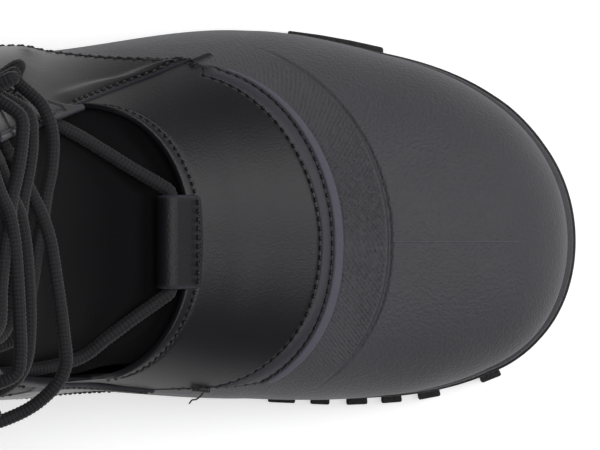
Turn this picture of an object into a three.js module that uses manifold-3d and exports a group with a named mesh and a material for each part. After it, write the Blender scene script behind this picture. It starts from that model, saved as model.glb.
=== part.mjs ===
// A left-foot snow boot with a moulded rubber shell, a lugged outsole and a laced leather upper.
// Millimetres, +Z up, toe towards +X, outer (lateral) side towards +Y, standing on its sole at Z = 0.
import * as THREE from "three";
import { mergeVertices } from "three/addons/utils/BufferGeometryUtils.js";
import Module from "manifold-3d";

const wasm = await Module();
wasm.setup();

// ---------------------------------------------------------------- driving dimensions
const GAP = 0.3; // clearance between neighbouring pieces
const TOE_X = 305.5; // foremost point of the rubber shell
const TOE_RADIUS = 52; // plan radius of the shell's toe
const HEEL_RADIUS = 42; // plan radius of the shell's heel
const SHELL_WALL = 3; // rubber
const LEATHER = 2.3; // how far the leather stands proud of the shell
const LINING = 1.7; // depth of the lining inside the leather
const SHELL_OVERLAP = 12; // how far the shell runs up under the leather
const COLUMNS = 60; // points round a section

// One row for each section, from the sole to the collar. A section runs in side view from its back
// point to its front point; lateral and medial are the half-widths that the shaft has at that height.
const SECTIONS = [
  { name: "feather", backX: 4.5, backZ: 28, frontX: 305, frontZ: 23, lateral: 51, medial: 47.5 },
  { name: "bulge", backX: 2, backZ: 46, frontX: TOE_X, frontZ: 34, lateral: 51, medial: 47.5 },
  { name: "toe wall", backX: 2.5, backZ: 58, frontX: 301.5, frontZ: 48, lateral: 51, medial: 47.5 },
  { name: "toe shoulder", backX: 4.5, backZ: 68, frontX: 291, frontZ: 59, lateral: 51, medial: 47.5 },
  { name: "toe crown", backX: 7, backZ: 76, frontX: 272, frontZ: 67.5, lateral: 51, medial: 47.5 },
  { name: "rim band", backX: 9, backZ: 84, frontX: 251, frontZ: 74, lateral: 51, medial: 47.5 },
  { name: "vamp edge", backX: 11, backZ: 92, frontX: 231, frontZ: 81, lateral: 51, medial: 47.5 },
  { name: "vamp", backX: 13, backZ: 101, frontX: 206, frontZ: 92, lateral: 51, medial: 47.5 },
  { name: "throat", backX: 14.5, backZ: 112, frontX: 181, frontZ: 104.5, lateral: 51, medial: 47.5 },
  { name: "instep", backX: 15, backZ: 126, frontX: 160.5, frontZ: 121, lateral: 51.5, medial: 48 },
  { name: "ankle", backX: 14, backZ: 146, frontX: 147, frontZ: 145, lateral: 52, medial: 48.5 },
  { name: "shaft", backX: 10, backZ: 182, frontX: 139, frontZ: 182, lateral: 54, medial: 50.5 },
  { name: "collar", backX: 5, backZ: 232, frontX: 136, frontZ: 238, lateral: 57, medial: 53.5 },
];
const BULGE = 1 / (SECTIONS.length - 1); // the widest section's share of the way up

// Half-widths of the shell at its widest, from the centre line to each side.
const PLAN = [
  { x: 45, lateral: 48, medial: 41.5 }, // heel
  { x: 132, lateral: 59.6, medial: 46.4 }, // waist
  { x: 203, lateral: 67.2, medial: 50 }, // ball
  { x: 246, lateral: 59.8, medial: 49.2 }, // little toe
  { x: 280, lateral: 45.6, medial: 40.4 }, // toe corner
];
const ROUNDNESS = { lateral: 2.25, medial: 2.8 }; // exponent of each side's arch over the foot
const SHAFT_ROUNDNESS = { front: 2.9, back: 2.2 };
const SHAFT_BLEND = { from: 80, to: 150 }; // heights between which the foot becomes the shaft

// How far the sides come in below the bulge: a base all round, and more of it at the waist.
const TUCK = { base: 1, lateral: 4, medial: 7, at: 0.4, spread: 0.17 };

// Top face of the outsole, from heel to toe.
const SOLE_TOP = [
  { x: 0, z: 28 },
  { x: 75, z: 26.5 },
  { x: 140, z: 22 },
  { x: 200, z: 19 },
  { x: 250, z: 19 },
  { x: 308, z: 23 },
];
// How far the outsole stands out from the shell's foot, at the rows' x.
const SOLE_FLANGE = [
  { x: 0, out: 2 },
  { x: 220, out: 1.3 },
  { x: 285, out: 4 },
];
const TREAD_DEPTH = 7;
const TOE_SPRING = { from: 245, rise: 8 };
const ARCH = { at: 114, spread: 24, rise: 7 }; // the waist's lift off the floor

// Lugs along the edge, bolder ones beside the medial ball, one long block on the lateral side
// and two rows down the middle.
const EDGE_LUG = { pitch: 11.8, width: 7, depth: 19, recess: 1, taper: 1.5 };
const BOLD_LUGS = { from: 200, to: 290, proud: 2.1 };
const BOLD_LUG_ROWS = [
  { x: 212.5, width: 9 },
  { x: 225.5, width: 6.4 },
  { x: 237.3, width: 7 },
  { x: 249.4, width: 6.8 },
  { x: 261.5, width: 7.4 },
  { x: 280.3, width: 7 },
];
const LATERAL_BLOCK = { from: 216, to: 247, proud: 1.8, depth: 9 };
const MIDDLE_LUG = { from: 30, to: 272, pitch: 15, length: 9, width: 15, channel: 5, skew: 2 };

// The leather's lower edge: an arc over the vamp in plan, and a line along each side.
const VAMP_ARC = { x: 188, reach: 45.5 };
const VAMP_ARC_SIDE = {
  lateral: { width: 53.8, roundness: 1.97, atRest: 62 },
  medial: { width: 47.2, roundness: 2.35, atRest: 54 },
};
const SIDE_LINE = [
  { x: 0, z: 99 },
  { x: 50, z: 94 },
  { x: 100, z: 88 },
  { x: 150, z: 84 },
  { x: 190, z: 77.5 },
  { x: 240, z: 70 },
];

// The throat: an arch in plan where the vamp ends, and straight sides up the shaft.
const THROAT = { x: 152, reach: 33, roundness: 2.2 };
const THROAT_EDGE = [
  { z: 40, lateral: 41, medial: 41.5 },
  { z: 106, lateral: 41, medial: 41.5 },
  { z: 126, lateral: 36.5, medial: 40.5 },
  { z: 150, lateral: 32.5, medial: 38 },
  { z: 190, lateral: 30, medial: 34.5 },
  { z: 238, lateral: 28, medial: 32 },
  { z: 300, lateral: 28, medial: 32 },
];
// The vamp's end is folded back on itself as a tunnel for the lace.
const LACE_LOOP = { halfWidth: 14.5, inner: 3.2, outer: 4.8, sink: 2.2, setBack: 4.5 };

const TONGUE = { thickness: 4, depth: 7.4, edgeDepth: 3, tuckedFor: 22, overlap: 9, above: 10 };
const INSOLE_THICKNESS = 5;

const LACE_RADIUS = 2;
const EYELET = { bore: 2.6, tube: 3.4, flange: 5, bevel: 0.5, lip: 0.9, seat: 0.8, behind: 0.6 };
const EYELET_INSET = { lateral: 11.5, medial: 7.5 }; // from the throat's edge
const EYELET_HEIGHTS = [144, 167, 190, 213];

// ---------------------------------------------------------------- small helpers
const V = (x, y, z) => new THREE.Vector3(x, y, z);
const mix = (a, b, t) => a + (b - a) * t;
const clamp = (x, low, high) => Math.min(high, Math.max(low, x));
const smooth = (x, low, high) => {
  const t = clamp((x - low) / (high - low), 0, 1);
  return t * t * (3 - 2 * t);
};

// Catmull-Rom value at position p (0 to n - 1) of a list of numbers.
function spline(values, p) {
  const last = values.length - 1;
  const i = clamp(Math.floor(p), 0, last - 1);
  const t = p - i;
  const b = values[i];
  const c = values[i + 1];
  const a = i > 0 ? values[i - 1] : 2 * b - c;
  const d = i + 2 <= last ? values[i + 2] : 2 * c - b;
  return b + 0.5 * t * (c - a + t * (2 * a - 5 * b + 4 * c - d + t * (3 * (b - c) + d - a)));
}

// Straight-line lookup in a table sorted by key, held at its ends.
function lookup(table, key, value, at) {
  if (at <= table[0][key]) return table[0][value];
  for (let i = 1; i < table.length; i++) {
    const [a, b] = [table[i - 1], table[i]];
    if (at <= b[key]) return mix(a[value], b[value], (at - a[key]) / (b[key] - a[key]));
  }
  return table[table.length - 1][value];
}

// Smooth lookup: a Catmull-Rom curve through a table's rows, by the table's own x.
function smoothLookup(table, value, x) {
  const last = table.length - 1;
  let i = 0;
  while (i < last - 1 && x > table[i + 1].x) i++;
  const p = i + clamp((x - table[i].x) / (table[i + 1].x - table[i].x), 0, 1);
  return spline(table.map((row) => row[value]), p);
}

// ---------------------------------------------------------------- the last, shared by shell and upper
// The section at a share v of the way from sole (0) to collar (1).
function sectionAt(v) {
  const p = v * (SECTIONS.length - 1);
  const column = (key) => spline(SECTIONS.map((row) => row[key]), p);
  return {
    backX: column("backX"),
    backZ: column("backZ"),
    frontX: column("frontX"),
    frontZ: column("frontZ"),
    lateral: column("lateral"),
    medial: column("medial"),
  };
}

const PROFILE = Array.from({ length: 401 }, (_, i) => sectionAt(i / 400));
const RIDGE = PROFILE.filter((_, i) => i / 400 >= BULGE).reverse();
const soleTop = (x) => smoothLookup(SOLE_TOP, "z", x);
const sideLine = (x) => smoothLookup(SIDE_LINE, "z", x);

// Plan half-width of the shell at its widest: an ellipse times a factor that runs smoothly through
// the rows of PLAN and gives the toe and heel their radii.
function planWidth(x, backX, tipX, side) {
  const s = clamp((x - backX) / (tipX - backX), 0, 1);
  const length = TOE_X - 2;
  const ellipse = (share) => 2 * Math.sqrt(Math.max(0, share * (1 - share)));
  const shares = [0, ...PLAN.map((row) => (row.x - 2) / length), 1];
  const factors = [
    Math.sqrt((HEEL_RADIUS * length) / 2),
    ...PLAN.map((row, i) => row[side] / ellipse(shares[i + 1])),
    Math.sqrt((TOE_RADIUS * length) / 2),
  ];
  const rows = shares.map((share, i) => ({ x: share, factor: factors[i] }));
  return ellipse(s) * smoothLookup(rows, "factor", s);
}

// Half-width of the last at a point of its side view.
function halfWidth(x, z, side) {
  const backX = lookup(PROFILE, "backZ", "backX", z);
  const frontX = lookup(PROFILE, "frontZ", "frontX", z);
  const bulge = SECTIONS[1];
  const s = clamp((x - bulge.backX) / (TOE_X - bulge.backX), 0, 1);
  const widest = mix(bulge.backZ, bulge.frontZ, s);
  let foot = planWidth(x, backX, z < bulge.frontZ ? frontX : TOE_X, side);
  if (z < widest) {
    const waist = Math.exp(-(((s - TUCK.at) / TUCK.spread) ** 2));
    const depth = Math.max(0, (widest - z) / (widest - soleTop(x)));
    foot -= (TUCK.base + TUCK[side] * waist) * depth ** 1.5 * Math.min(1, foot / 30) ** 2;
  } else {
    const behind = Math.max(0, RIDGE[0].frontX - x); // behind the shaft's front the arch has no ridge
    const ridge = lookup(RIDGE, "frontX", "frontZ", x) + 30 * behind;
    const n = ROUNDNESS[side];
    const q = clamp((z - widest) / Math.max(1e-6, ridge - widest), 0, 1);
    foot *= Math.max(0, 1 - q ** n) ** (1 / n);
  }
  const along = 2 * clamp((x - backX) / (frontX - backX), 0, 1) - 1;
  const wide = lookup(PROFILE, "frontZ", side, z);
  const n = along > 0 ? SHAFT_ROUNDNESS.front : SHAFT_ROUNDNESS.back;
  const shaft = wide * Math.max(0, 1 - Math.abs(along) ** n) ** (1 / n);
  return mix(foot, shaft, smooth(z, SHAFT_BLEND.from, SHAFT_BLEND.to));
}

// The point at angle a (0 at the toe, a quarter turn at the lateral side) and share v of the height.
function lastPoint(a, v) {
  const section = sectionAt(v);
  const s = (1 + Math.cos(a)) / 2;
  const x = mix(section.backX, section.frontX, s);
  let z = mix(section.backZ, section.frontZ, s);
  const flat = mix(SECTIONS[0].backZ, SECTIONS[0].frontZ, s);
  z += (soleTop(x) - flat) * (1 - smooth(v, 0, 0.3)); // the lowest sections follow the sole
  const side = Math.sin(a) >= 0 ? "lateral" : "medial";
  const width = Math.abs(Math.sin(a)) < 1e-9 ? 0 : halfWidth(x, z, side);
  return V(x, Math.sign(Math.sin(a)) * width, z);
}

// Outward normal of the last, from neighbouring points.
function lastNormal(a, v) {
  const da = 0.02;
  const dv = 0.004;
  const across = lastPoint(a + da, v).sub(lastPoint(a - da, v));
  const up = lastPoint(a, Math.min(1, v + dv)).sub(lastPoint(a, Math.max(0, v - dv)));
  return across.cross(up).normalize();
}

// A point at a distance outside (or, if negative, inside) the last. Where it stands on the sole it
// keeps the sole's height.
function offsetPoint(a, v, distance) {
  const normal = lastNormal(a, v);
  if (v < BULGE) normal.z *= v / BULGE;
  const point = lastPoint(a, v).addScaledVector(normal, distance);
  if (v === 0) point.z = soleTop(point.x) + GAP;
  return point;
}

// The share v at which the meridian at angle a passes a height test, found by halving.
function whereOnMeridian(a, passed) {
  let [low, high] = [0, 1];
  for (let i = 0; i < 24; i++) {
    const middle = (low + high) / 2;
    if (passed(lastPoint(a, middle))) high = middle;
    else low = middle;
  }
  return high;
}

// How far inside the vamp's arc a plan point lies: positive behind the arc.
function insideArc(p) {
  const { width, roundness, atRest } = VAMP_ARC_SIDE[p.y > 0 ? "lateral" : "medial"];
  const across = Math.abs(p.y) / mix(atRest, width, smooth(p.x, VAMP_ARC.x - 8, VAMP_ARC.x + 2));
  return 1 - across ** roundness - (Math.max(0, p.x - VAMP_ARC.x) / VAMP_ARC.reach) ** roundness;
}
const aboveLeatherEdge = (p) => p.z > sideLine(p.x) && insideArc(p) > 0;

const ANGLES = Array.from({ length: COLUMNS }, (_, i) => (2 * Math.PI * i) / COLUMNS);
const leatherEdge = ANGLES.map((a) => whereOnMeridian(a, aboveLeatherEdge));

// The share v that lies a distance along the meridian above another.
function climb(a, from, distance) {
  let v = from;
  let last = lastPoint(a, v);
  for (let gone = 0; gone < distance && v < 1; v += 0.002) {
    const next = lastPoint(a, v + 0.002);
    gone += next.distanceTo(last);
    last = next;
  }
  return v;
}
const shellRim = ANGLES.map((a, i) => climb(a, leatherEdge[i], SHELL_OVERLAP));
const aboveRim = ANGLES.map((a, i) => climb(a, shellRim[i], 4 * GAP));

// ---------------------------------------------------------------- meshes and solids
// A solid from rows of points. Each row is a closed loop; with closed true the last row joins the
// first, otherwise each end row is filled between its two sides.
function gridSolid(rows, closed) {
  const n = rows[0].length;
  const positions = rows.flatMap((row) => row.flatMap((p) => [p.x, p.y, p.z]));
  const index = [];
  const flat = rows.flat();
  const quad = (a, b, c, d) => {
    const short = flat[a].distanceToSquared(flat[c]) < flat[b].distanceToSquared(flat[d]) * 0.999;
    if (short) index.push(a, b, c, a, c, d);
    else index.push(b, c, d, b, d, a);
  };
  const bands = closed ? rows.length : rows.length - 1;
  for (let r = 0; r < bands; r++) {
    const next = (r + 1) % rows.length;
    for (let i = 0; i < n; i++) {
      const j = (i + 1) % n;
      quad(r * n + i, r * n + j, next * n + j, next * n + i);
    }
  }
  if (!closed) {
    const top = (rows.length - 1) * n;
    index.push(0, n - 1, 1, top, top + 1, top + n - 1);
    index.push(n / 2, n / 2 - 1, n / 2 + 1, top + n / 2, top + n / 2 + 1, top + n / 2 - 1);
    for (let i = 1; i < n / 2 - 1; i++) {
      quad(i, n - i, n - i - 1, i + 1);
      quad(top + i, top + i + 1, top + n - i - 1, top + n - i);
    }
  }
  return manifoldOf(positions, index);
}

// A manifold-3d solid from raw arrays, turned right side out.
function manifoldOf(positions, index) {
  const geometry = new THREE.BufferGeometry();
  geometry.setAttribute("position", new THREE.Float32BufferAttribute(positions, 3));
  geometry.setIndex(index);
  const merged = mergeVertices(geometry, 1e-4);
  const at = merged.attributes.position;
  const tris = [];
  for (let i = 0; i < merged.index.count; i += 3) {
    const [a, b, c] = [0, 1, 2].map((k) => merged.index.getX(i + k));
    if (a !== b && b !== c && c !== a) tris.push([a, b, c]);
  }
  const corner = (k) => V(at.getX(k), at.getY(k), at.getZ(k));
  const sixfold = ([a, b, c]) => corner(a).dot(corner(b).cross(corner(c)));
  const volume = tris.reduce((sum, tri) => sum + sixfold(tri), 0);
  const triVerts = new Uint32Array(tris.flatMap(([a, b, c]) => (volume > 0 ? [a, b, c] : [a, c, b])));
  return new wasm.Manifold(new wasm.Mesh({ numProp: 3, vertProperties: at.array, triVerts }));
}

// A three.js geometry as a solid, after a matrix has placed it.
function solidOf(geometry, matrix = new THREE.Matrix4()) {
  const placed = geometry.clone().applyMatrix4(matrix);
  placed.deleteAttribute("normal");
  placed.deleteAttribute("uv");
  const merged = mergeVertices(placed, 1e-4);
  return manifoldOf(Array.from(merged.attributes.position.array), Array.from(merged.index.array));
}

function meshOf(name, solid, material) {
  const made = solid.getMesh();
  const geometry = new THREE.BufferGeometry();
  const positions = new Float32Array(made.numVert * 3);
  for (let i = 0; i < made.numVert; i++) {
    positions.set(made.vertProperties.subarray(i * made.numProp, i * made.numProp + 3), i * 3);
  }
  geometry.setAttribute("position", new THREE.BufferAttribute(positions, 3));
  geometry.setIndex(new THREE.BufferAttribute(made.triVerts, 1));
  geometry.computeVertexNormals();
  const mesh = new THREE.Mesh(geometry, material);
  mesh.name = name;
  return mesh;
}

// A round cord through points: a ring of sides at each point, square to the path.
function cordSolid(points, radius, sides = 8) {
  const curve = new THREE.CatmullRomCurve3(points, false, "centripetal");
  const steps = Math.max(4, Math.round(curve.getLength() / (4.5 * radius)));
  const frames = curve.computeFrenetFrames(steps, false);
  const rows = [];
  for (let i = 0; i <= steps; i++) {
    const centre = curve.getPointAt(i / steps);
    rows.push(
      Array.from({ length: sides }, (_, k) => {
        const turn = (2 * Math.PI * k) / sides;
        return centre
          .clone()
          .addScaledVector(frames.normals[i], radius * Math.cos(turn))
          .addScaledVector(frames.binormals[i], radius * Math.sin(turn));
      }),
    );
  }
  return gridSolid(rows, false);
}

// ---------------------------------------------------------------- rubber shell
function makeShell() {
  const shares = [0, 0.08, 0.17, 0.28, 0.42, 0.58, 0.78, 1];
  const levels = [...shares.map((share) => leatherEdge.map((v) => v * share)), shellRim];
  const rows = (distance) =>
    levels.map((level) => ANGLES.map((a, i) => offsetPoint(a, level[i], distance)));
  return gridSolid([...rows(0), ...rows(-SHELL_WALL).reverse()], true);
}

// ---------------------------------------------------------------- leather upper
// Distance of the throat's edge from the centre line at a height.
const throatEdge = (side, z) => lookup(THROAT_EDGE, "z", side > 0 ? "lateral" : "medial", z);

// The opening from the vamp's arch to the collar: one closed outline in plan for each height.
function throatCutter() {
  const steps = 22;
  const power = 2 / THROAT.roundness;
  const rows = THROAT_EDGE.map(({ z }) => {
    const lateral = throatEdge(1, z);
    const medial = throatEdge(-1, z);
    const arch = Array.from({ length: steps }, (_, i) => {
      const a = Math.PI / 2 - (Math.PI * i) / (steps - 1);
      const across = Math.sign(a) * Math.abs(Math.sin(a)) ** power;
      return V(THROAT.x + THROAT.reach * Math.cos(a) ** power, (across > 0 ? lateral : medial) * across, z);
    });
    return [...arch, V(70, -medial, z), V(70, lateral, z)];
  });
  return gridSolid(rows, false);
}

// The point of the last that lies over a plan point of the vamp.
function vampPoint(x, y) {
  const ridge = lookup(RIDGE, "frontX", "frontZ", x);
  let [low, high] = [40, ridge];
  for (let i = 0; i < 30; i++) {
    const middle = (low + high) / 2;
    if (halfWidth(x, middle, y > 0 ? "lateral" : "medial") > Math.abs(y)) low = middle;
    else high = middle;
  }
  return V(x, y, low);
}

const LOOP_X = THROAT.x + THROAT.reach - LACE_LOOP.setBack;
const loopCentre = vampPoint(LOOP_X, 0).add(V(0, 0, LEATHER - LACE_LOOP.sink));

// A cylinder across the vamp's end, for the tunnel or its bore.
function laceLoop(radius, halfWidth) {
  const along = new THREE.Matrix4().makeTranslation(loopCentre.x, loopCentre.y, loopCentre.z);
  return solidOf(new THREE.CylinderGeometry(radius, radius, 2 * halfWidth, 14), along);
}

// A wall between the last moved outwards and the last moved inwards, from the leather's lower edge,
// where it laps the shell, to the collar. The throat, the tunnel's bore and the eyelets are cut out.
function makeUpper() {
  const rise = (low, share) => ANGLES.map((a, i) => mix(low[i], 1, share));
  const row = (shares, distance) => ANGLES.map((a, i) => offsetPoint(a, shares[i], distance));
  const outerShares = [0, 0.035, 0.08, 0.15, 0.23, 0.33, 0.44, 0.56, 0.7, 0.85, 1];
  const innerShares = [1, 0.82, 0.64, 0.48, 0.34, 0.21, 0.1, 0];
  const wall = gridSolid(
    [
      ...outerShares.map((share) => row(rise(leatherEdge, share), LEATHER)),
      ...innerShares.map((share) => row(rise(aboveRim, share), -LINING)),
      row(aboveRim, GAP),
      row(shellRim, GAP),
      row(leatherEdge, GAP),
    ],
    true,
  );
  const tunnel = laceLoop(LACE_LOOP.outer, LACE_LOOP.halfWidth);
  const bore = laceLoop(LACE_LOOP.inner, LACE_LOOP.halfWidth + 3);
  const holeRadius = EYELET.tube + 2 * GAP;
  const hole = new THREE.CylinderGeometry(holeRadius, holeRadius, 30, 12);
  const body = wall.subtract(throatCutter()).add(tunnel).subtract(bore);
  return eyelets.reduce((solid, eyelet) => solid.subtract(solidOf(hole, eyelet.matrix)), body);
}

// The angle at which the section at share v reaches a given y, or its widest point if it never does.
function angleAt(y, v) {
  let [low, high] = [0, 0.47 * Math.PI];
  for (let i = 0; i < 24; i++) {
    const middle = (low + high) / 2;
    if (Math.abs(lastPoint(Math.sign(y) * middle, v).y) < Math.abs(y)) low = middle;
    else high = middle;
  }
  return Math.sign(y) * low;
}

// ---------------------------------------------------------------- eyelets
// The meridian angle at which the last has a given y at a given height on the front of the shaft.
function shaftPlace(y, z) {
  let [low, high] = [0, Math.PI / 2];
  const sign = Math.sign(y);
  const v = (turn) => whereOnMeridian(sign * turn, (p) => p.z > z);
  for (let i = 0; i < 20; i++) {
    const middle = (low + high) / 2;
    if (Math.abs(lastPoint(sign * middle, v(middle)).y) < Math.abs(y)) low = middle;
    else high = middle;
  }
  return { a: sign * low, v: v(low) };
}

function placeEyelet(side, z) {
  const inset = side > 0 ? EYELET_INSET.lateral : EYELET_INSET.medial;
  const at = shaftPlace(side * (throatEdge(side, z) + inset), z);
  const normal = lastNormal(at.a, at.v);
  const point = lastPoint(at.a, at.v).addScaledVector(normal, LEATHER);
  const turn = new THREE.Quaternion().setFromUnitVectors(V(0, 1, 0), normal);
  return { point, normal, matrix: new THREE.Matrix4().compose(point, turn, V(1, 1, 1)) };
}
const eyelets = EYELET_HEIGHTS.flatMap((z) => [placeEyelet(1, z), placeEyelet(-1, z)]);

function eyeletGeometry() {
  const deep = LEATHER + LINING + EYELET.behind;
  const outline = [
    [EYELET.bore, -deep],
    [EYELET.tube, -deep],
    [EYELET.tube, EYELET.seat],
    [EYELET.flange, EYELET.seat],
    [EYELET.flange - EYELET.bevel, EYELET.seat + EYELET.lip],
    [EYELET.bore + EYELET.bevel, EYELET.seat + EYELET.lip],
    [EYELET.bore, EYELET.seat],
    [EYELET.bore, -deep],
  ];
  return new THREE.LatheGeometry(outline.map(([r, h]) => new THREE.Vector2(r, h)), 12);
}

// ---------------------------------------------------------------- outsole and insole
// The outline of the last's foot at the sole, moved outwards by a distance that may change along it.
function soleOutline(distance, columns = COLUMNS) {
  return Array.from({ length: columns }, (_, i) => {
    const a = (2 * Math.PI * i) / columns;
    const point = lastPoint(a, 0);
    const normal = lastNormal(a, 0).setZ(0).normalize();
    return point.addScaledVector(normal, distance(point.x));
  });
}

const flange = (x) => lookup(SOLE_FLANGE, "x", "out", x);
const toeSpring = (x) => {
  const along = Math.max(0, x - TOE_SPRING.from) / (TOE_X - TOE_SPRING.from);
  return TOE_SPRING.rise * along ** 2;
};
const archRise = (x) => ARCH.rise * Math.exp(-(((x - ARCH.at) / ARCH.spread) ** 2));

// A slab whose outline is given and whose faces depend on x alone.
function slab(outline, low, high) {
  const level = (height) => outline.map((p) => V(p.x, p.y, height(p.x)));
  return gridSolid([level(low), level(high)], false);
}

// A block of tread over a plan outline, from the floor (or the toe spring) up into the sole.
function lug(corners) {
  const level = (height) => corners.map((p) => V(p.x, p.y, height(p.x)));
  return gridSolid([level(toeSpring), level((x) => toeSpring(x) + archRise(x) + TREAD_DEPTH + 3)], false);
}

// One lug at point i of a dense outline of the sole.
function edgeLug(outline, i, width, proud) {
  const here = outline[i];
  const along = outline[(i + 1) % outline.length].clone().sub(here).setZ(0).normalize();
  const out = V(along.y, -along.x, 0);
  const corner = (outwards, sideways) =>
    here.clone().addScaledVector(out, outwards).addScaledVector(along, sideways);
  const wide = width / 2;
  const narrow = wide - EDGE_LUG.taper;
  const deep = -EDGE_LUG.depth;
  return lug([corner(proud, -wide), corner(proud, wide), corner(deep, narrow), corner(deep, -narrow)]);
}

function edgeLugs(outline) {
  const lugs = BOLD_LUG_ROWS.map(({ x, width }) => {
    const i = outline.findIndex((p) => p.y < 0 && p.x > x);
    return edgeLug(outline, i, width, BOLD_LUGS.proud);
  });
  let gone = 0;
  for (let i = 0; i + 1 < outline.length; i++) {
    const here = outline[i];
    const before = gone;
    gone += outline[i + 1].distanceTo(here);
    if (Math.floor(gone / EDGE_LUG.pitch) === Math.floor(before / EDGE_LUG.pitch)) continue;
    if (Math.abs(here.x - ARCH.at) < ARCH.spread + 4) continue;
    if (here.y < 0 && here.x > BOLD_LUGS.from && here.x < BOLD_LUGS.to) continue;
    lugs.push(edgeLug(outline, i, EDGE_LUG.width, -EDGE_LUG.recess));
  }
  return lugs;
}

// The one long block that shows along the lateral edge beside the ball.
function lateralBlock(outline) {
  const edge = outline.filter((p) => p.y > 0 && p.x > LATERAL_BLOCK.from && p.x < LATERAL_BLOCK.to);
  const every = Math.ceil(edge.length / 6);
  const picked = edge.filter((_, i) => i % every === 0);
  const outer = picked.map((p, i) => V(p.x, p.y + LATERAL_BLOCK.proud * (i === 0 ? 0.6 : 1), 0));
  const inner = picked.map((p) => V(p.x, p.y - LATERAL_BLOCK.depth, 0)).reverse();
  return lug([...outer, ...inner]);
}

function middleLugs() {
  const { from, to, pitch, length, width, channel, skew } = MIDDLE_LUG;
  const lugs = [];
  for (let x = from; x < to; x += pitch) {
    if (Math.abs(x - ARCH.at) < ARCH.spread + 10) continue; // the arched waist has none
    const centre = x > ARCH.at ? 8 : 4;
    for (const side of [-1, 1]) {
      const middle = centre + (side * (width + channel)) / 2;
      const corner = (along, across) =>
        V(x + (along * length) / 2 - (across > 0 ? skew : 0), middle + (across * width) / 2, 0);
      lugs.push(lug([corner(-1, -1), corner(1, -1), corner(1, 1), corner(-1, 1)]));
    }
  }
  return lugs;
}

function makeOutsole() {
  const outline = soleOutline(flange);
  const dense = soleOutline(flange, 480);
  const body = slab(outline, (x) => toeSpring(x) + archRise(x) + TREAD_DEPTH, soleTop);
  const blocks = [...edgeLugs(dense), lateralBlock(dense), ...middleLugs()];
  return blocks.reduce((solid, block) => solid.add(block), body);
}

function makeInsole() {
  const outline = soleOutline(() => -SHELL_WALL - 1.2, 44);
  return slab(outline, (x) => soleTop(x) + GAP, (x) => soleTop(x) + INSOLE_THICKNESS);
}

// ---------------------------------------------------------------- tongue
// A padded sheet inside the throat, from under the vamp to above the collar, deeper than the lining.
function makeTongue() {
  const heights = [0, 0.08, 0.17, 0.27, 0.38, 0.5, 0.63, 0.76, 0.88, 1];
  const across = 12;
  const start = whereOnMeridian(0, (p) => p.x < THROAT.x + THROAT.reach + TONGUE.tuckedFor);
  const sheet = (distance) =>
    heights.map((share) =>
      Array.from({ length: across + 1 }, (_, k) => {
        const v = mix(start, 1, share);
        const side = 1 - (2 * k) / across;
        const z = lastPoint(0, v).z;
        const y = side * (throatEdge(side, z) + TONGUE.overlap);
        const a = angleAt(y, v);
        const past = smooth(Math.abs(lastPoint(a, v).y) - throatEdge(side, z), -1.5, 2);
        const lift = (TONGUE.depth - TONGUE.edgeDepth) * past * (1 - smooth(z, 118, 130));
        const point = offsetPoint(a, v, lift - distance);
        if (share === 1) point.z += TONGUE.above;
        return point;
      }),
    );
  const outer = sheet(TONGUE.depth);
  const inner = sheet(TONGUE.depth + TONGUE.thickness);
  const rows = outer.map((row, r) => [...row, ...inner[r].slice().reverse()]);
  return stripSolid(rows);
}

// A solid from rows that each go out along one face and back along the other.
function stripSolid(rows) {
  const n = rows[0].length;
  const half = n / 2;
  const positions = rows.flatMap((row) => row.flatMap((p) => [p.x, p.y, p.z]));
  const index = [];
  const quad = (a, b, c, d) => index.push(a, b, c, a, c, d);
  for (let r = 0; r + 1 < rows.length; r++) {
    for (let i = 0; i < n; i++) {
      const j = (i + 1) % n;
      quad(r * n + i, r * n + j, (r + 1) * n + j, (r + 1) * n + i);
    }
  }
  const top = (rows.length - 1) * n;
  for (let i = 0; i + 1 < half; i++) {
    quad(i, n - 1 - i, n - 2 - i, i + 1);
    quad(top + i, top + i + 1, top + n - 2 - i, top + n - 1 - i);
  }
  return manifoldOf(positions, index);
}

// ---------------------------------------------------------------- laces
// The point over a plan point at which a lace clears the tongue by a lift.
function overTongue(x, y, lift) {
  const z = (dx, dy) => vampPoint(x + dx, y + dy).z;
  const steep = Math.hypot(1, (z(1, 0) - z(-1, 0)) / 2, (z(0, 1) - z(0, -1)) / 2);
  return V(x, y, z(0, 0) - (TONGUE.depth - LACE_RADIUS) * steep + lift);
}

// Through the tunnel in the vamp, and back over the tongue to the corners of the throat.
function vampLace() {
  const { x, z } = loopCentre;
  const half = LACE_LOOP.halfWidth;
  return cordSolid(
    [
      overTongue(150.5, 33.5, 3.3),
      overTongue(160, 27.5, 2),
      overTongue(169, 21.8, 2),
      V(x - 3.4, half + 4, z + 0.4),
      V(x - 0.6, half + 0.9, z + 0.1),
      V(x, half - 4, z),
      V(x, 0, z),
      V(x, 4 - half, z),
      V(x - 0.6, -half - 0.9, z + 0.1),
      V(x - 2.8, -half - 4.6, z + 0.4),
      overTongue(169, -22.4, 2),
      overTongue(161, -29, 2),
      overTongue(152.5, -35.5, 3.4),
    ],
    LACE_RADIUS,
  );
}

// The first crossing's slack strands, between the eyelet each leaves and the edge it goes under.
const LOWER_STRAND = [
  { x: 136, y: 49, z: 141 },
  { x: 144, y: 41, z: 143 },
  { x: 147, y: 33, z: 144.5 },
  { x: 147, y: 23, z: 147.2 },
  { x: 145.4, y: 14, z: 149.8 },
  { x: 144.4, y: 6, z: 151.8 },
  { x: 142.8, y: -3, z: 153.6 },
  { x: 141.2, y: -14, z: 156 },
  { x: 138.5, y: -27, z: 159 },
];
const UPPER_STRAND = [
  { x: 138, y: -51, z: 141 },
  { x: 148, y: -43, z: 143 },
  { x: 151, y: -37, z: 144.5 },
  { x: 150.5, y: -27, z: 147.5 },
  { x: 148.5, y: -11, z: 151 },
  { x: 146.6, y: 1, z: 153 },
  { x: 144, y: 9, z: 154.6 },
  { x: 140.6, y: 16, z: 157 },
  { x: 137, y: 24.5, z: 160 },
];

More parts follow.
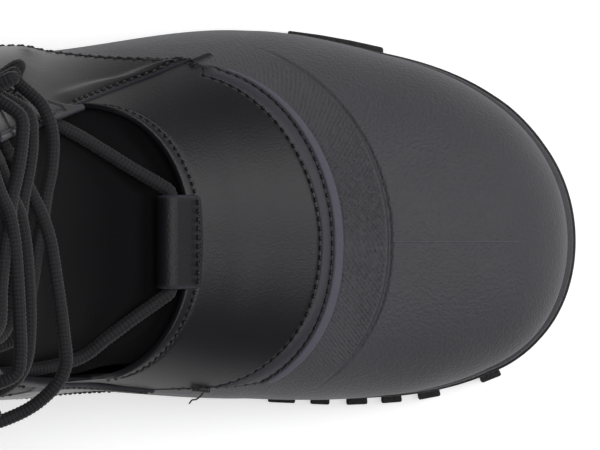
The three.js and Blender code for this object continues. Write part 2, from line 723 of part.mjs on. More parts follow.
// The last's foremost reach at a height, a distance y from the centre line.
function shaftFront(y, z) {
  const widest = 0.88 * lookup(PROFILE, "frontZ", y > 0 ? "lateral" : "medial", z);
  const at = shaftPlace(clamp(y, -widest, widest), z);
  return lastPoint(at.a, at.v).x;
}

// A strand from the outside of one eyelet, hanging forward over the tongue, to behind the other
// side's edge at the next eyelet's height. Higher strands follow the shaft back and the throat in.
function strand(rows, side, level) {
  const from = eyelets[2 * level + (side > 0 ? 0 : 1)];
  const lift = EYELET_HEIGHTS[level] - EYELET_HEIGHTS[0];
  const middle = rows.map(({ x, y, z }) => {
    const narrower = (y * throatEdge(y, z + lift)) / throatEdge(y, z);
    return V(x + shaftFront(narrower, z + lift) - shaftFront(y, z), narrower, z + lift);
  });
  const top = EYELET_HEIGHTS[level + 1];
  const under = (past) => {
    const at = shaftPlace(-side * (throatEdge(-side, top) + past), top);
    return offsetPoint(at.a, at.v, -LINING - LACE_RADIUS - 0.8);
  };
  const start = from.point.clone().addScaledVector(from.normal, LACE_RADIUS + 2);
  const out = start.clone().addScaledVector(from.normal, 3).add(V(4, 0, 1));
  return cordSolid([start, out, ...middle, under(-2), under(3)], LACE_RADIUS);
}

function crossing(level) {
  return strand(LOWER_STRAND, 1, level).add(strand(UPPER_STRAND, -1, level));
}

// ---------------------------------------------------------------- the boot
function material(color, roughness, metalness = 0) {
  return new THREE.MeshStandardMaterial({ color, roughness, metalness });
}
const rubber = material(0x35373a, 0.75);
const outsoleRubber = material(0x26272a, 0.8);
const leather = material(0x1b1b1f, 0.45);
const cloth = material(0x0c0c0d, 0.95);
const felt = material(0x2a2b2e, 0.95);
const cord = material(0x1c1d1e, 0.85);
const metal = material(0x1a1a1b, 0.4, 0.9);

const boot = new THREE.Group();
boot.add(meshOf("outsole", makeOutsole(), outsoleRubber));
boot.add(meshOf("shell", makeShell(), rubber));
boot.add(meshOf("upper", makeUpper(), leather));
boot.add(meshOf("insole", makeInsole(), felt));
boot.add(meshOf("tongue", makeTongue(), cloth));
boot.add(meshOf("lace_vamp", vampLace(), cord));
for (let level = 0; level < EYELET_HEIGHTS.length - 1; level++) {
  boot.add(meshOf(`lace_cross_${level + 1}`, crossing(level), cord));
}
eyelets.forEach((eyelet, i) => {
  const side = i % 2 === 0 ? "lateral" : "medial";
  const ring = solidOf(eyeletGeometry(), eyelet.matrix);
  boot.add(meshOf(`eyelet_${side}_${Math.floor(i / 2) + 1}`, ring, metal));
});

// The origin is on the floor, under the middle of the boot's box.
const box = new THREE.Box3().setFromObject(boot);
boot.position.set(-(box.min.x + box.max.x) / 2, -(box.min.y + box.max.y) / 2, -box.min.z);

export default boot;
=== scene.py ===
"""A left snow boot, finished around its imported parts.

The leather, rubber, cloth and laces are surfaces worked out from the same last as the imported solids:
a point of the last is found from an angle round the boot (0 at the toe, a quarter turn at the outer
side) and a share of the height from sole to collar. Lengths of the last are millimetres; the objects
are metres.
"""

import bmesh
import bpy
import numpy as np
from bpy.props import FloatProperty, FloatVectorProperty, IntProperty, PointerProperty
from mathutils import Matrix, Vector


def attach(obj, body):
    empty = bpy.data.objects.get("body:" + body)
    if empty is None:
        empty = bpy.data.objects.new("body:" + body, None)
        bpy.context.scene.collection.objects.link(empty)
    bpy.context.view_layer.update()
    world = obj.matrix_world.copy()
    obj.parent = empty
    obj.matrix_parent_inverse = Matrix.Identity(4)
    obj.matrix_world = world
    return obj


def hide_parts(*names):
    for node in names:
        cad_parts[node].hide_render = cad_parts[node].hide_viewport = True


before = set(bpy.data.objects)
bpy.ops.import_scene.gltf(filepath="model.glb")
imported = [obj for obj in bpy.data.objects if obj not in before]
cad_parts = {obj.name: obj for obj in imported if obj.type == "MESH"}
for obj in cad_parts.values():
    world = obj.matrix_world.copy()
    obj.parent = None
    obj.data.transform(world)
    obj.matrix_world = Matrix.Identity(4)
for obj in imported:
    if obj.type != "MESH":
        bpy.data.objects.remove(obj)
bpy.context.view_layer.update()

bl_info = {
    "name": "Snow Boot",
    "version": (1, 0, 0),
    "blender": (4, 5, 0),
    "location": "View3D > Sidebar > Boot",
    "description": "Builds a laced snow boot with a rubber shell around its packed parts",
    "category": "Add Mesh",
}

# ---------------------------------------------------------------- the last's sizes, in millimetres
ORIGIN = np.array((155.45, 5.31, 0.0))  # where the row's origin lies in the last's own coordinates
TOE_X = 305.5
TOE_RADIUS = 52
HEEL_RADIUS = 42
SHELL_WALL = 3.0
GAP = 0.3

# One row for each section from sole to collar: back x and z, front x and z, and the half-widths that
# the shaft has at that height, lateral and medial.
SECTIONS = np.array(
    [
        (4.5, 28, 305, 23, 51, 47.5),  # feather
        (2, 46, TOE_X, 34, 51, 47.5),  # bulge
        (2.5, 58, 301.5, 48, 51, 47.5),  # toe wall
        (4.5, 68, 291, 59, 51, 47.5),  # toe shoulder
        (7, 76, 272, 67.5, 51, 47.5),  # toe crown
        (9, 84, 251, 74, 51, 47.5),  # rim band
        (11, 92, 231, 81, 51, 47.5),  # vamp edge
        (13, 101, 206, 92, 51, 47.5),  # vamp
        (14.5, 112, 181, 104.5, 51, 47.5),  # throat
        (15, 126, 160.5, 121, 51.5, 48),  # instep
        (14, 146, 147, 145, 52, 48.5),  # ankle
        (10, 182, 139, 182, 54, 50.5),  # shaft
        (5, 232, 136, 238, 57, 53.5),  # collar
    ]
)
BACK_X, BACK_Z, FRONT_X, FRONT_Z, LATERAL, MEDIAL = range(6)
BULGE = 1 / (len(SECTIONS) - 1)

# Half-widths of the shell at its widest: x, lateral, medial.
PLAN = np.array([(45, 48, 41.5), (132, 59.6, 46.4), (203, 67.2, 50), (246, 59.8, 49.2), (280, 45.6, 40.4)])
ROUNDNESS = (2.25, 2.8)  # exponent of the lateral and the medial arch
SHAFT_ROUNDNESS = {"front": 2.9, "back": 2.2}
SHAFT_BLEND = (80, 150)
TUCK = {"base": 1, "sides": (4, 7), "at": 0.4, "spread": 0.17}

SOLE_TOP = np.array([(0, 28), (75, 26.5), (140, 22), (200, 19), (250, 19), (308, 23)])  # x, z
SOLE_FLANGE = np.array([(0, 2), (220, 1.3), (285, 4)])  # x, how far the sole stands out
TREAD_DEPTH = 7
TOE_SPRING = {"from": 245, "rise": 8}
ARCH = {"at": 114, "spread": 24, "rise": 7}

# The leather's lower edge: an arc over the vamp in plan, and a line along each side (x, z).
VAMP_ARC = {"x": 188, "reach": 45.5, "sides": ((53.8, 1.97, 62), (47.2, 2.35, 54))}
SIDE_LINE = np.array([(0, 99), (50, 94), (100, 88), (150, 84), (190, 77.5), (240, 70)])

THROAT = {"x": 152, "reach": 33, "roundness": 2.2}
# z, then how far the lateral and the medial edge of the throat are from the centre line.
THROAT_EDGE = np.array(
    [(106, 41, 41.5), (126, 36.5, 40.5), (150, 32.5, 38), (190, 30, 34.5), (238, 28, 32), (290, 28, 32)]
)
LACE_LOOP = {"half_width": 14.5, "inner": 3.2, "outer": 4.8, "sink": 2.2, "set_back": 4.5}
LEATHER = 2.3
LINING = 1.7


# ---------------------------------------------------------------- numbers
def smooth(x, low, high):
    """A smooth step from 0 at low to 1 at high."""
    t = np.clip((np.asarray(x, float) - low) / (high - low), 0, 1)
    return t * t * (3 - 2 * t)


def hump(x, centre, width):
    """A bell of height 1: e to the minus square of the distance from the centre over the width."""
    return np.exp(-(((np.asarray(x, float) - centre) / width) ** 2))


def mix(a, b, t):
    return a + (b - a) * t


def catmull(table, p):
    """Catmull-Rom value of a table's rows at positions p, from 0 to the last row."""
    table = np.asarray(table, float)
    last = len(table) - 1
    i = np.clip(np.floor(p).astype(int), 0, last - 1)
    t = (p - i).reshape(np.shape(p) + (1,) * (table.ndim - 1))
    ends = np.concatenate([[2 * table[0] - table[1]], table, [2 * table[-1] - table[-2]]])
    a, b, c, d = (ends[i + k] for k in range(4))
    return b + 0.5 * t * (c - a + t * (2 * a - 5 * b + 4 * c - d + t * (3 * (b - c) + d - a)))


def through(xs, ys, x):
    """A Catmull-Rom curve through points (xs, ys), read at x and held at both ends."""
    xs = np.asarray(xs, float)
    i = np.searchsorted(xs[1:-1], x, side="left")
    share = np.clip((x - xs[i]) / (xs[i + 1] - xs[i]), 0, 1)
    return catmull(ys, i + share)


def halve(low, high, passed, steps=26):
    """Where a test turns true between low and high, found by halving, for whole arrays at once."""
    for _ in range(steps):
        middle = (low + high) / 2
        now = passed(middle)
        low, high = np.where(now, low, middle), np.where(now, middle, high)
    return high


def unit(vectors):
    return vectors / np.maximum(1e-12, np.linalg.norm(vectors, axis=-1, keepdims=True))


# ---------------------------------------------------------------- the last
def section_at(v):
    return catmull(SECTIONS, np.asarray(v, float) * (len(SECTIONS) - 1))


SHARES = np.linspace(0, 1, 401)
PROFILE = section_at(SHARES)
RIDGE = PROFILE[SHARES >= BULGE][::-1]


def sole_top(x):
    return through(SOLE_TOP[:, 0], SOLE_TOP[:, 1], x)


def plan_width(x, back_x, tip_x, side):
    """An ellipse from heel to tip times a factor that runs through the rows of PLAN."""
    s = np.clip((x - back_x) / (tip_x - back_x), 0, 1)
    length = TOE_X - 2
    shares = np.concatenate([[0], (PLAN[:, 0] - 2) / length, [1]])
    rows = PLAN[:, side + 1] / (2 * np.sqrt(shares[1:-1] * (1 - shares[1:-1])))
    factors = np.concatenate([[np.sqrt(HEEL_RADIUS * length / 2)], rows, [np.sqrt(TOE_RADIUS * length / 2)]])
    return 2 * np.sqrt(np.maximum(0, s * (1 - s))) * through(shares, factors, s)


def side_width(x, z, side):
    """Half-width of one side (0 lateral, 1 medial): an arch over the foot that turns into the shaft."""
    back_x = np.interp(z, PROFILE[:, BACK_Z], PROFILE[:, BACK_X])
    front_x = np.interp(z, PROFILE[:, FRONT_Z], PROFILE[:, FRONT_X])
    bulge = SECTIONS[1]
    s = np.clip((x - bulge[BACK_X]) / (TOE_X - bulge[BACK_X]), 0, 1)
    widest = mix(bulge[BACK_Z], bulge[FRONT_Z], s)
    foot = plan_width(x, back_x, np.where(z < bulge[FRONT_Z], front_x, TOE_X), side)
    depth = np.maximum(0, (widest - z) / (widest - sole_top(x)))
    waist = hump(s, TUCK["at"], TUCK["spread"])
    tuck = (TUCK["base"] + TUCK["sides"][side] * waist) * depth**1.5 * np.minimum(1, foot / 30) ** 2
    behind = np.maximum(0, RIDGE[0, FRONT_X] - x)
    ridge = np.interp(x, RIDGE[:, FRONT_X], RIDGE[:, FRONT_Z]) + 30 * behind
    n = ROUNDNESS[side]
    q = np.clip((z - widest) / np.maximum(1e-6, ridge - widest), 0, 1)
    foot = np.where(z < widest, foot - tuck, foot * np.maximum(0, 1 - q**n) ** (1 / n))
    along = 2 * np.clip((x - back_x) / (front_x - back_x), 0, 1) - 1
    wide = np.interp(z, PROFILE[:, FRONT_Z], PROFILE[:, LATERAL + side])
    m = np.where(along > 0, SHAFT_ROUNDNESS["front"], SHAFT_ROUNDNESS["back"])
    shaft = wide * np.maximum(0, 1 - np.abs(along) ** m) ** (1 / m)
    return mix(foot, shaft, smooth(z, *SHAFT_BLEND))


def half_width(x, z, lateral):
    return np.where(lateral, side_width(x, z, 0), side_width(x, z, 1))


def last_point(a, v):
    """The last's point at angle a and share v: a section's cosine gives x and z, its width gives y."""
    a, v = np.broadcast_arrays(np.asarray(a, float), np.asarray(v, float))
    section = section_at(v)
    s = (1 + np.cos(a)) / 2
    x = mix(section[..., BACK_X], section[..., FRONT_X], s)
    z = mix(section[..., BACK_Z], section[..., FRONT_Z], s)
    flat = mix(SECTIONS[0, BACK_Z], SECTIONS[0, FRONT_Z], s)
    z = z + (sole_top(x) - flat) * (1 - smooth(v, 0, 0.3))
    sine = np.where(np.abs(np.sin(a)) < 1e-9, 0, np.sin(a))
    return np.stack([x, np.sign(sine) * half_width(x, z, sine >= 0), z], axis=-1)


def last_normal(a, v):
    """The outward normal, from neighbouring points."""
    across = last_point(a + 0.02, v) - last_point(a - 0.02, v)
    up = last_point(a, np.minimum(1, v + 0.004)) - last_point(a, np.maximum(0, v - 0.004))
    return unit(np.cross(across, up))


def offset_point(a, v, distance):
    """A point at a distance outside the last, in millimetres. Its foot stays on the sole."""
    a, v = np.broadcast_arrays(np.asarray(a, float), np.asarray(v, float))
    normal = last_normal(a, v)
    normal[..., 2] *= np.minimum(1, v / BULGE)
    point = last_point(a, v) + normal * np.broadcast_to(distance, v.shape)[..., None]
    point[..., 2] = np.where(v == 0, sole_top(point[..., 0]) + GAP, point[..., 2])
    return point


def inside_arc(p, arc):
    """Positive where a plan point lies behind an arc made of two half superellipses."""
    lateral = p[..., 1] > 0
    width, roundness, at_rest = (np.where(lateral, *pair) for pair in zip(*arc["sides"]))
    wide = mix(at_rest, width, smooth(p[..., 0], arc["x"] - 8, arc["x"] + 2))
    ahead = np.maximum(0, p[..., 0] - arc["x"]) / arc["reach"]
    return 1 - (np.abs(p[..., 1]) / wide) ** roundness - ahead**roundness


def above_arc(a, arc, lower=0.0):
    """The share v at which each meridian passes behind an arc and above the side line less a drop."""

    def passed(v):
        p = last_point(a, v)
        line = through(SIDE_LINE[:, 0], SIDE_LINE[:, 1], p[..., 0]) - lower
        return (p[..., 2] > line) & (inside_arc(p, arc) > 0)

    return halve(np.zeros_like(a), np.ones_like(a), passed)


TURN = 2 * np.pi
TABLE_ANGLES = np.linspace(0, TURN, 1440, endpoint=False)
EDGE_TABLE = above_arc(TABLE_ANGLES, VAMP_ARC)


def leather_edge(a):
    """The share v of the leather's lower edge at angle a."""
    return np.interp(np.mod(a, TURN), TABLE_ANGLES, EDGE_TABLE, period=TURN)


def rise(a, h):
    """The share v at a share h of the way from the leather's lower edge to the collar."""
    edge = leather_edge(a)
    return edge + (1 - edge) * h


def throat_edge(side, z):
    """Distance of the throat's edge from the centre line at a height."""
    lateral = through(THROAT_EDGE[:, 0], THROAT_EDGE[:, 1], z)
    medial = through(THROAT_EDGE[:, 0], THROAT_EDGE[:, 2], z)
    return np.where(np.asarray(side) > 0, lateral, medial)


def place_plan(x, y):
    """Angle and share of the last's upper side over a plan point.

    At a fixed x the width shrinks as v grows, so the share is found by halving.
    """
    x, y = np.broadcast_arrays(np.asarray(x, float), np.asarray(y, float))

    def turn(v):
        section = section_at(v)
        s = (x - section[..., BACK_X]) / (section[..., FRONT_X] - section[..., BACK_X])
        return np.arccos(np.clip(2 * s - 1, -1, 1)), s

    def passed(v):
        a, s = turn(v)
        p = last_point(np.where(y < 0, -a, a), v)
        return (s > 1) | (np.abs(p[..., 1]) < np.abs(y))

    v = halve(np.full(x.shape, BULGE), np.ones(x.shape), passed)
    return np.where(y < 0, -turn(v)[0], turn(v)[0]), v


def place_front(y, z):
    """Angle and share of the shaft's front at a distance y from the centre line and a height z."""
    y, z = np.broadcast_arrays(np.asarray(y, float), np.asarray(z, float))
    sign = np.where(y < 0, -1.0, 1.0)

    def level(a):
        return halve(np.zeros(y.shape), np.ones(y.shape), lambda v: last_point(sign * a, v)[..., 2] > z, 22)

    def passed(a):
        return np.abs(last_point(sign * a, level(a))[..., 1]) >= np.abs(y)

    a = halve(np.zeros(y.shape), np.full(y.shape, np.pi / 2), passed, 22)
    return sign * a, level(a)


def arc_columns(a_from, a_to, h, wanted):
    """Angles along each row of height h at wanted distances in millimetres from a_from towards a_to.

    wanted(lengths) gives each row's distances from its whole length, which a fine polyline measures.
    """
    fine = np.linspace(0, 1, 160)
    angles = mix(a_from[:, None], a_to[:, None], fine)
    points = last_point(angles, rise(angles, h[:, None]))
    steps = np.linalg.norm(np.diff(points, axis=1), axis=-1)
    gone = np.concatenate([np.zeros((len(h), 1)), np.cumsum(steps, axis=1)], axis=1)
    distances = wanted(gone[:, -1])
    rows = [np.interp(w, g, row) for w, g, row in zip(distances, gone, angles)]
    return np.array(rows), distances, gone[:, -1]


# Each crease of the ankle: height, slope along x, width, depth, and where it starts and ends.
CREASES = (
    (132, 0.12, 5.0, 1.0, 22, 128),
    (147, -0.06, 4.5, 1.2, 14, 118),
    (162, 0.05, 4.0, 0.7, 40, 122),
    (119, 0.2, 4.0, 0.6, 30, 96),
)
VAMP_CREASE = 0.25


def creases(p):
    """Troughs and ridges, in millimetres, where the shaft bends over the ankle and the vamp over the toes."""
    x, y, z = p[..., 0], p[..., 1], p[..., 2]
    depth = np.zeros(x.shape)
    for centre, slope, width, deep, back, front in CREASES:
        line = z - centre - slope * (x - 80) - 2.5 * np.sin(x / 17 + centre)
        along = smooth(x, back - 14, back + 10) * (1 - smooth(x, front - 10, front + 14))
        fold = hump(line, 0, width) - 0.7 * hump(line, 1.7 * width, width)
        depth += along * smooth(np.abs(y), 22, 40) * deep * fold
    across = x - 196 - 5 * np.cos(y / 22)
    fold = hump(across, 0, 4) - 0.5 * hump(across, 8, 5)
    depth += VAMP_CREASE * fold * (1 - smooth(np.abs(y - 4), 18, 40))
    return -depth


# ---------------------------------------------------------------- meshes
def to_row(points):
    """Last coordinates in millimetres as row coordinates in metres."""
    return (np.asarray(points, float) - ORIGIN) / 1000


def grid_faces(rows, columns, wrap_rows=False, wrap_columns=False):
    """Quads of a grid of rows by columns; a wrapped direction joins its last line to its first."""
    r = np.arange(rows if wrap_rows else rows - 1)[:, None]
    c = np.arange(columns if wrap_columns else columns - 1)[None, :]
    r1, c1 = (r + 1) % rows, (c + 1) % columns
    quads = np.stack([r * columns + c, r * columns + c1, r1 * columns + c1, r1 * columns + c], axis=-1)
    return quads.reshape(-1, 4)


def make_piece(name, points, faces, material, replaced=(), layers=None, uv=None, weld=0.002):
    """One closed object from points in last coordinates and groups of faces.

    Doubles are merged and faces turned outwards. layers are numbers kept for each point.
    """
    points = to_row(np.asarray(points, float).reshape(-1, 3))
    mesh = bpy.data.meshes.new(name)
    mesh.from_pydata(points.tolist(), [], [face for group in faces for face in group.tolist()])
    for key, values in (layers or {}).items():
        layer = mesh.attributes.new(key, "FLOAT", "POINT")
        layer.data.foreach_set("value", np.asarray(values, np.float32).ravel())
    if uv is not None:
        corners = np.empty(len(mesh.loops), np.int32)
        mesh.loops.foreach_get("vertex_index", corners)
        spread = np.asarray(uv, np.float32).reshape(-1, 2)[corners]
        mesh.uv_layers.new(name="UVMap").data.foreach_set("uv", spread.ravel())
    work = bmesh.new()
    work.from_mesh(mesh)
    bmesh.ops.remove_doubles(work, verts=work.verts, dist=weld / 1000)
    bmesh.ops.dissolve_degenerate(work, edges=work.edges, dist=1e-7)
    bmesh.ops.recalc_face_normals(work, faces=work.faces)
    work.to_mesh(mesh)
    work.free()
    mesh.polygons.foreach_set("use_smooth", np.ones(len(mesh.polygons), bool))
    mesh.materials.append(material)
    piece = bpy.data.objects.new(name, mesh)
    bpy.context.scene.collection.objects.link(piece)
    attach(piece, "root")
    if replaced:
        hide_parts(*replaced)
    return piece


def patch_solid(outer, inner):
    """Points and faces of a sheet between two matching grids, closed round its four sides."""
    rows, columns = outer.shape[:2]
    n = rows * columns
    points = np.concatenate([outer.reshape(-1, 3), inner.reshape(-1, 3)])
    top = grid_faces(rows, columns)
    index = np.arange(n).reshape(rows, columns)
    ring = np.concatenate([index[0, :], index[1:, -1], index[-1, -2::-1], index[-2:0:-1, 0]])
    after = np.roll(ring, -1)
    rim = np.stack([ring, ring + n, after + n, after], axis=-1)
    return points, [np.concatenate([top, top[:, ::-1] + n, rim])]


def rounded(distance, radius):
    """How much of its height a sheet keeps at a distance from its edge: a quarter circle."""
    q = np.clip(1 - np.asarray(distance, float) / radius, 0, 1)
    return np.sqrt(np.maximum(0, 1 - q * q))


def frames_along(path):
    """Tangents and two side vectors along a path, turned as little as possible from point to point."""
    tangent = unit(np.gradient(path, axis=0))
    side = np.empty_like(path)
    start = np.cross(tangent[0], (0.0, 0.0, 1.0))
    side[0] = unit(start if np.linalg.norm(start) > 0.1 else np.cross(tangent[0], (0.0, 1.0, 0.0)))
    for i in range(1, len(path)):
        side[i] = unit(side[i - 1] - tangent[i] * np.dot(side[i - 1], tangent[i]))
    return tangent, side, np.cross(tangent, side)


def curve_through(points, share):
    """A centripetal Catmull-Rom curve: knots lie apart by the square root of the points' distances."""
    ends = np.concatenate([[2 * points[0] - points[1]], points, [2 * points[-1] - points[-2]]])
    knots = np.concatenate([[0], np.cumsum(np.sqrt(np.linalg.norm(np.diff(ends, axis=0), axis=1)))])
    p0, p1, p2, p3 = (ends[k : len(ends) - 3 + k, None, :] for k in range(4))
    t0, t1, t2, t3 = (knots[k : len(ends) - 3 + k, None, None] for k in range(4))
    t = t1 + (t2 - t1) * share[None, :, None]
    a1 = ((t1 - t) * p0 + (t - t0) * p1) / (t1 - t0)
    a2 = ((t2 - t) * p1 + (t - t1) * p2) / (t2 - t1)
    a3 = ((t3 - t) * p2 + (t - t2) * p3) / (t3 - t2)
    b1 = ((t2 - t) * a1 + (t - t0) * a2) / (t2 - t0)
    b2 = ((t3 - t) * a2 + (t - t1) * a3) / (t3 - t1)
    return np.concatenate([(((t2 - t) * b1 + (t - t1) * b2) / (t2 - t1)).reshape(-1, 3), points[-1:]])


def even_path(points, step):
    """A smooth curve through points, resampled at an even step."""
    fine = curve_through(np.asarray(points, float), np.linspace(0, 1, 40, endpoint=False))
    gone = np.concatenate([[0], np.cumsum(np.linalg.norm(np.diff(fine, axis=0), axis=1))])
    count = max(3, int(round(gone[-1] / step)) + 1)
    at = np.linspace(0, gone[-1], count)
    return np.stack([np.interp(at, gone, fine[:, k]) for k in range(3)], axis=-1), at


def capped(rings, ends):
    """Points and faces of a tube's rings, with a fan round each of two end points."""
    count, sides = rings.shape[:2]
    n = count * sides
    around = np.arange(sides)
    after = (around + 1) % sides
    first = np.stack([around, np.full(sides, n), after], axis=-1)
    last = np.stack([after, np.full(sides, n + 1), around], axis=-1) + np.array([1, 0, 1]) * (n - sides)
    points = np.concatenate([rings.reshape(-1, 3), ends])
    return points, [grid_faces(count, sides, wrap_columns=True), np.concatenate([first, last])]


def tube(path, radius, sides):
    """A tube round a path; radius may vary by ring and by side. The two end rings are narrower."""
    _, side, up = frames_along(path)
    turn = np.arange(sides) * TURN / sides
    ring = np.cos(turn)[None, :, None] * side[:, None, :] + np.sin(turn)[None, :, None] * up[:, None, :]
    radius = np.broadcast_to(radius, (len(path), sides)).copy()
    radius[[0, -1]] *= 0.55
    return capped(path[:, None, :] + ring * radius[..., None], path[[0, -1]])


def joined(parts):
    """Several (points, face groups) as one."""
    points, groups, base = [], [], 0
    for part_points, part_groups in parts:
        points.append(np.asarray(part_points).reshape(-1, 3))
        groups += [group + base for group in part_groups]
        base += len(points[-1])
    return np.concatenate(points), groups


def stitch_row(path, normals, pitch, length, radius, lean=0.0):
    """Threads along a path on the leather: each is a short bent tube whose two ends dip into it.

    A stitch's points are centre + tangent times s + normal times a height that falls off as s to the
    fourth, with a ring of six round each. lean turns every stitch away from the path.
    """
    gone = np.concatenate([[0], np.cumsum(np.linalg.norm(np.diff(path, axis=0), axis=1))])
    count = max(1, int(gone[-1] // pitch))
    at = (np.arange(count) + 0.5) * gone[-1] / count
    centre = np.stack([np.interp(at, gone, path[:, k]) for k in range(3)], axis=-1)
    normal = unit(np.stack([np.interp(at, gone, normals[:, k]) for k in range(3)], axis=-1))
    tangent = unit(np.stack([np.interp(at, gone, np.gradient(path[:, k], gone)) for k in range(3)], axis=-1))
    tangent = unit(tangent - normal * np.sum(tangent * normal, axis=-1, keepdims=True))
    across = np.cross(tangent, normal)
    tangent = unit(tangent + lean * across)
    across = np.cross(tangent, normal)
    s = np.linspace(-1, 1, 7)
    height = radius * (0.75 - 2.6 * s**4)
    slim = np.array([0.35, 0.85, 1, 1, 1, 0.85, 0.35]) * radius
    turn = np.arange(6) * TURN / 6
    spine = (
        centre[:, None, :]
        + tangent[:, None, :] * (s * length / 2)[None, :, None]
        + normal[:, None, :] * height[None, :, None]
    )
    ring = np.cos(turn)[None, :, None] * across[:, None, :] + np.sin(turn)[None, :, None] * normal[:, None, :]
    points = spine[:, :, None, :] + ring[:, None, :, :] * slim[None, :, None, None]
    one = grid_faces(7, 6, wrap_columns=True)
    offsets = (np.arange(count) * 42)[:, None, None]
    faces = (one[None] + offsets).reshape(-1, 4)
    caps = np.array([[5, 4, 3, 2, 1, 0], [36, 37, 38, 39, 40, 41]])
    return points.reshape(-1, 3), [faces, (caps[None] + offsets).reshape(-1, 6)]


def surface_stitches(a, v, height, pitch, length, radius, lean=0.0):
    """A stitch row along a path given by angles and shares, at a height above the last."""
    return stitch_row(offset_point(a, v, height), last_normal(a, v), pitch, length, radius, lean)


# ---------------------------------------------------------------- finishes
class Number:
    """A number that varies over a surface. Arithmetic on it adds Math nodes."""

    def __init__(self, finish, socket):
        self.finish = finish
        self.socket = socket

    def __add__(self, other):
        return self.finish.math("ADD", self, other)

    def __sub__(self, other):
        return self.finish.math("SUBTRACT", self, other)

    def __rsub__(self, other):
        return self.finish.math("SUBTRACT", other, self)

    def __mul__(self, other):
        return self.finish.math("MULTIPLY", self, other)

    def __abs__(self):
        return self.finish.math("ABSOLUTE", self)

    __radd__ = __add__
    __rmul__ = __mul__

    def sine(self):
        return self.finish.math("SINE", self)

    def above(self, low, high):
        """0 below low, 1 above high, and a smooth step between."""
        node = self.finish.node(
            "ShaderNodeMapRange",
            {"interpolation_type": "SMOOTHSTEP", "clamp": True},
            {"Value": self, "From Min": low, "From Max": high},
        )
        return Number(self.finish, node.outputs["Result"])


class Finish:
    """A material under construction: one Principled shader and the nodes that feed it."""

    def __init__(self, name, **constants):
        self.material = bpy.data.materials.new(name)
        self.material.use_nodes = True
        self.tree = self.material.node_tree
        self.tree.nodes.clear()
        self.shader = self.node("ShaderNodeBsdfPrincipled", inputs=constants)
        surface = Number(self, self.shader.outputs["BSDF"])
        self.node("ShaderNodeOutputMaterial", inputs={"Surface": surface})

    def node(self, kind, settings=None, inputs=None):
        """Adds a node: its settings are set first, then the values or links of its sockets."""
        node = self.tree.nodes.new(kind)
        for key, value in (settings or {}).items():
            setattr(node, key, value)
        for key, value in (inputs or {}).items():
            if isinstance(value, Number):
                self.tree.links.new(value.socket, node.inputs[key])
            else:
                node.inputs[key].default_value = value
        return node

    def math(self, operation, *values):
        node = self.node("ShaderNodeMath", {"operation": operation}, dict(enumerate(values)))
        return Number(self, node.outputs[0])

    def place(self):
        """Object coordinates, in metres."""
        return Number(self, self.node("ShaderNodeTexCoord").outputs["Object"])

    def spread(self):
        """The piece's own UV map."""
        return Number(self, self.node("ShaderNodeTexCoord").outputs["UV"])

    def split(self, vector):
        node = self.node("ShaderNodeSeparateXYZ", inputs={"Vector": vector})
        return [Number(self, socket) for socket in node.outputs]

    def layer(self, name):
        """A number kept for each point of the mesh."""
        node = self.node("ShaderNodeAttribute", {"attribute_name": name})
        return Number(self, node.outputs["Fac"])

    def noise(self, vector, scale, detail=2.0, roughness=0.5):
        sockets = {"Vector": vector, "Scale": scale, "Detail": detail, "Roughness": roughness}
        return Number(self, self.node("ShaderNodeTexNoise", inputs=sockets).outputs["Fac"])

    def cells(self, vector, scale, feature="F1"):
        sockets = {"Vector": vector, "Scale": scale}
        node = self.node("ShaderNodeTexVoronoi", {"feature": feature}, sockets)
        return Number(self, node.outputs["Distance"])

    def blend(self, share, first, second):
        """A colour between two colours."""
        node = self.node("ShaderNodeMix", {"data_type": "RGBA"}, {0: share, 6: first, 7: second})
        return Number(self, node.outputs[2])

    def feed(self, colour, roughness, relief):
        """Links what varies. relief lists (height, depth in metres, strength) for bumps on bumps."""
        normal = None
        for height, depth, strength in relief:
            sockets = {"Height": height, "Distance": depth, "Strength": strength}
            if normal is not None:
                sockets["Normal"] = normal
            normal = Number(self, self.node("ShaderNodeBump", inputs=sockets).outputs["Normal"])
        for key, value in {"Base Color": colour, "Roughness": roughness, "Normal": normal}.items():
            self.tree.links.new(value.socket, self.shader.inputs[key])
        return self.material


def shade(colour, factor):
    """A colour made lighter or darker, with full alpha."""
    return tuple(min(1.0, c * factor) for c in colour) + (1.0,)


KNURL = 4.2  # radians of the crossed ridges for each millimetre
MOULD_LINE = {
    "y": -ORIGIN[1] / 1000,
    "from": (243 - ORIGIN[0]) / 1000,
    "to": (291 - ORIGIN[0]) / 1000,
}


def rubber_finish(name, colour, knurled=False):
    """Matte moulded rubber: fine pebble, faint flow marks, and on the shell a knurled band and mould line."""
    made = Finish(name, **{"Specular IOR Level": 0.42})
    at = made.place()
    pebble = made.cells(at, 950) * 0.6 + made.noise(at, 1500, 1.0) * 0.5
    cloud = made.noise(at, 22, 3.0)
    relief = [(cloud, 0.0008, 0.12), (pebble, 0.0004, 0.9)]
    lighter = cloud * 0.6 + pebble * 0.25
    if knurled:
        along, across, _ = made.split(made.spread())
        band = made.layer("knurl")
        lines = ((along + across) * KNURL).sine() + ((along - across) * KNURL).sine()
        relief.append((lines * band, 0.0003, 0.5))
        x, y, _ = made.split(at)
        seam = 1 - abs(y - MOULD_LINE["y"]).above(0.00012, 0.0004)
        seam = seam * x.above(MOULD_LINE["from"], MOULD_LINE["from"] + 0.008)
        seam = seam * (1 - x.above(MOULD_LINE["to"] - 0.004, MOULD_LINE["to"]))
        relief.append((seam, 0.0002, 0.7))
        # The mould line is also painted lighter: a painted highlight along its ridge.
        lighter = lighter + seam * 0.5
    tone = made.blend(lighter.above(0.2, 1.1), shade(colour, 0.82), shade(colour, 1.3))
    return made.feed(tone, made.noise(at, 60, 2.0) * 0.12 + 0.56, relief)


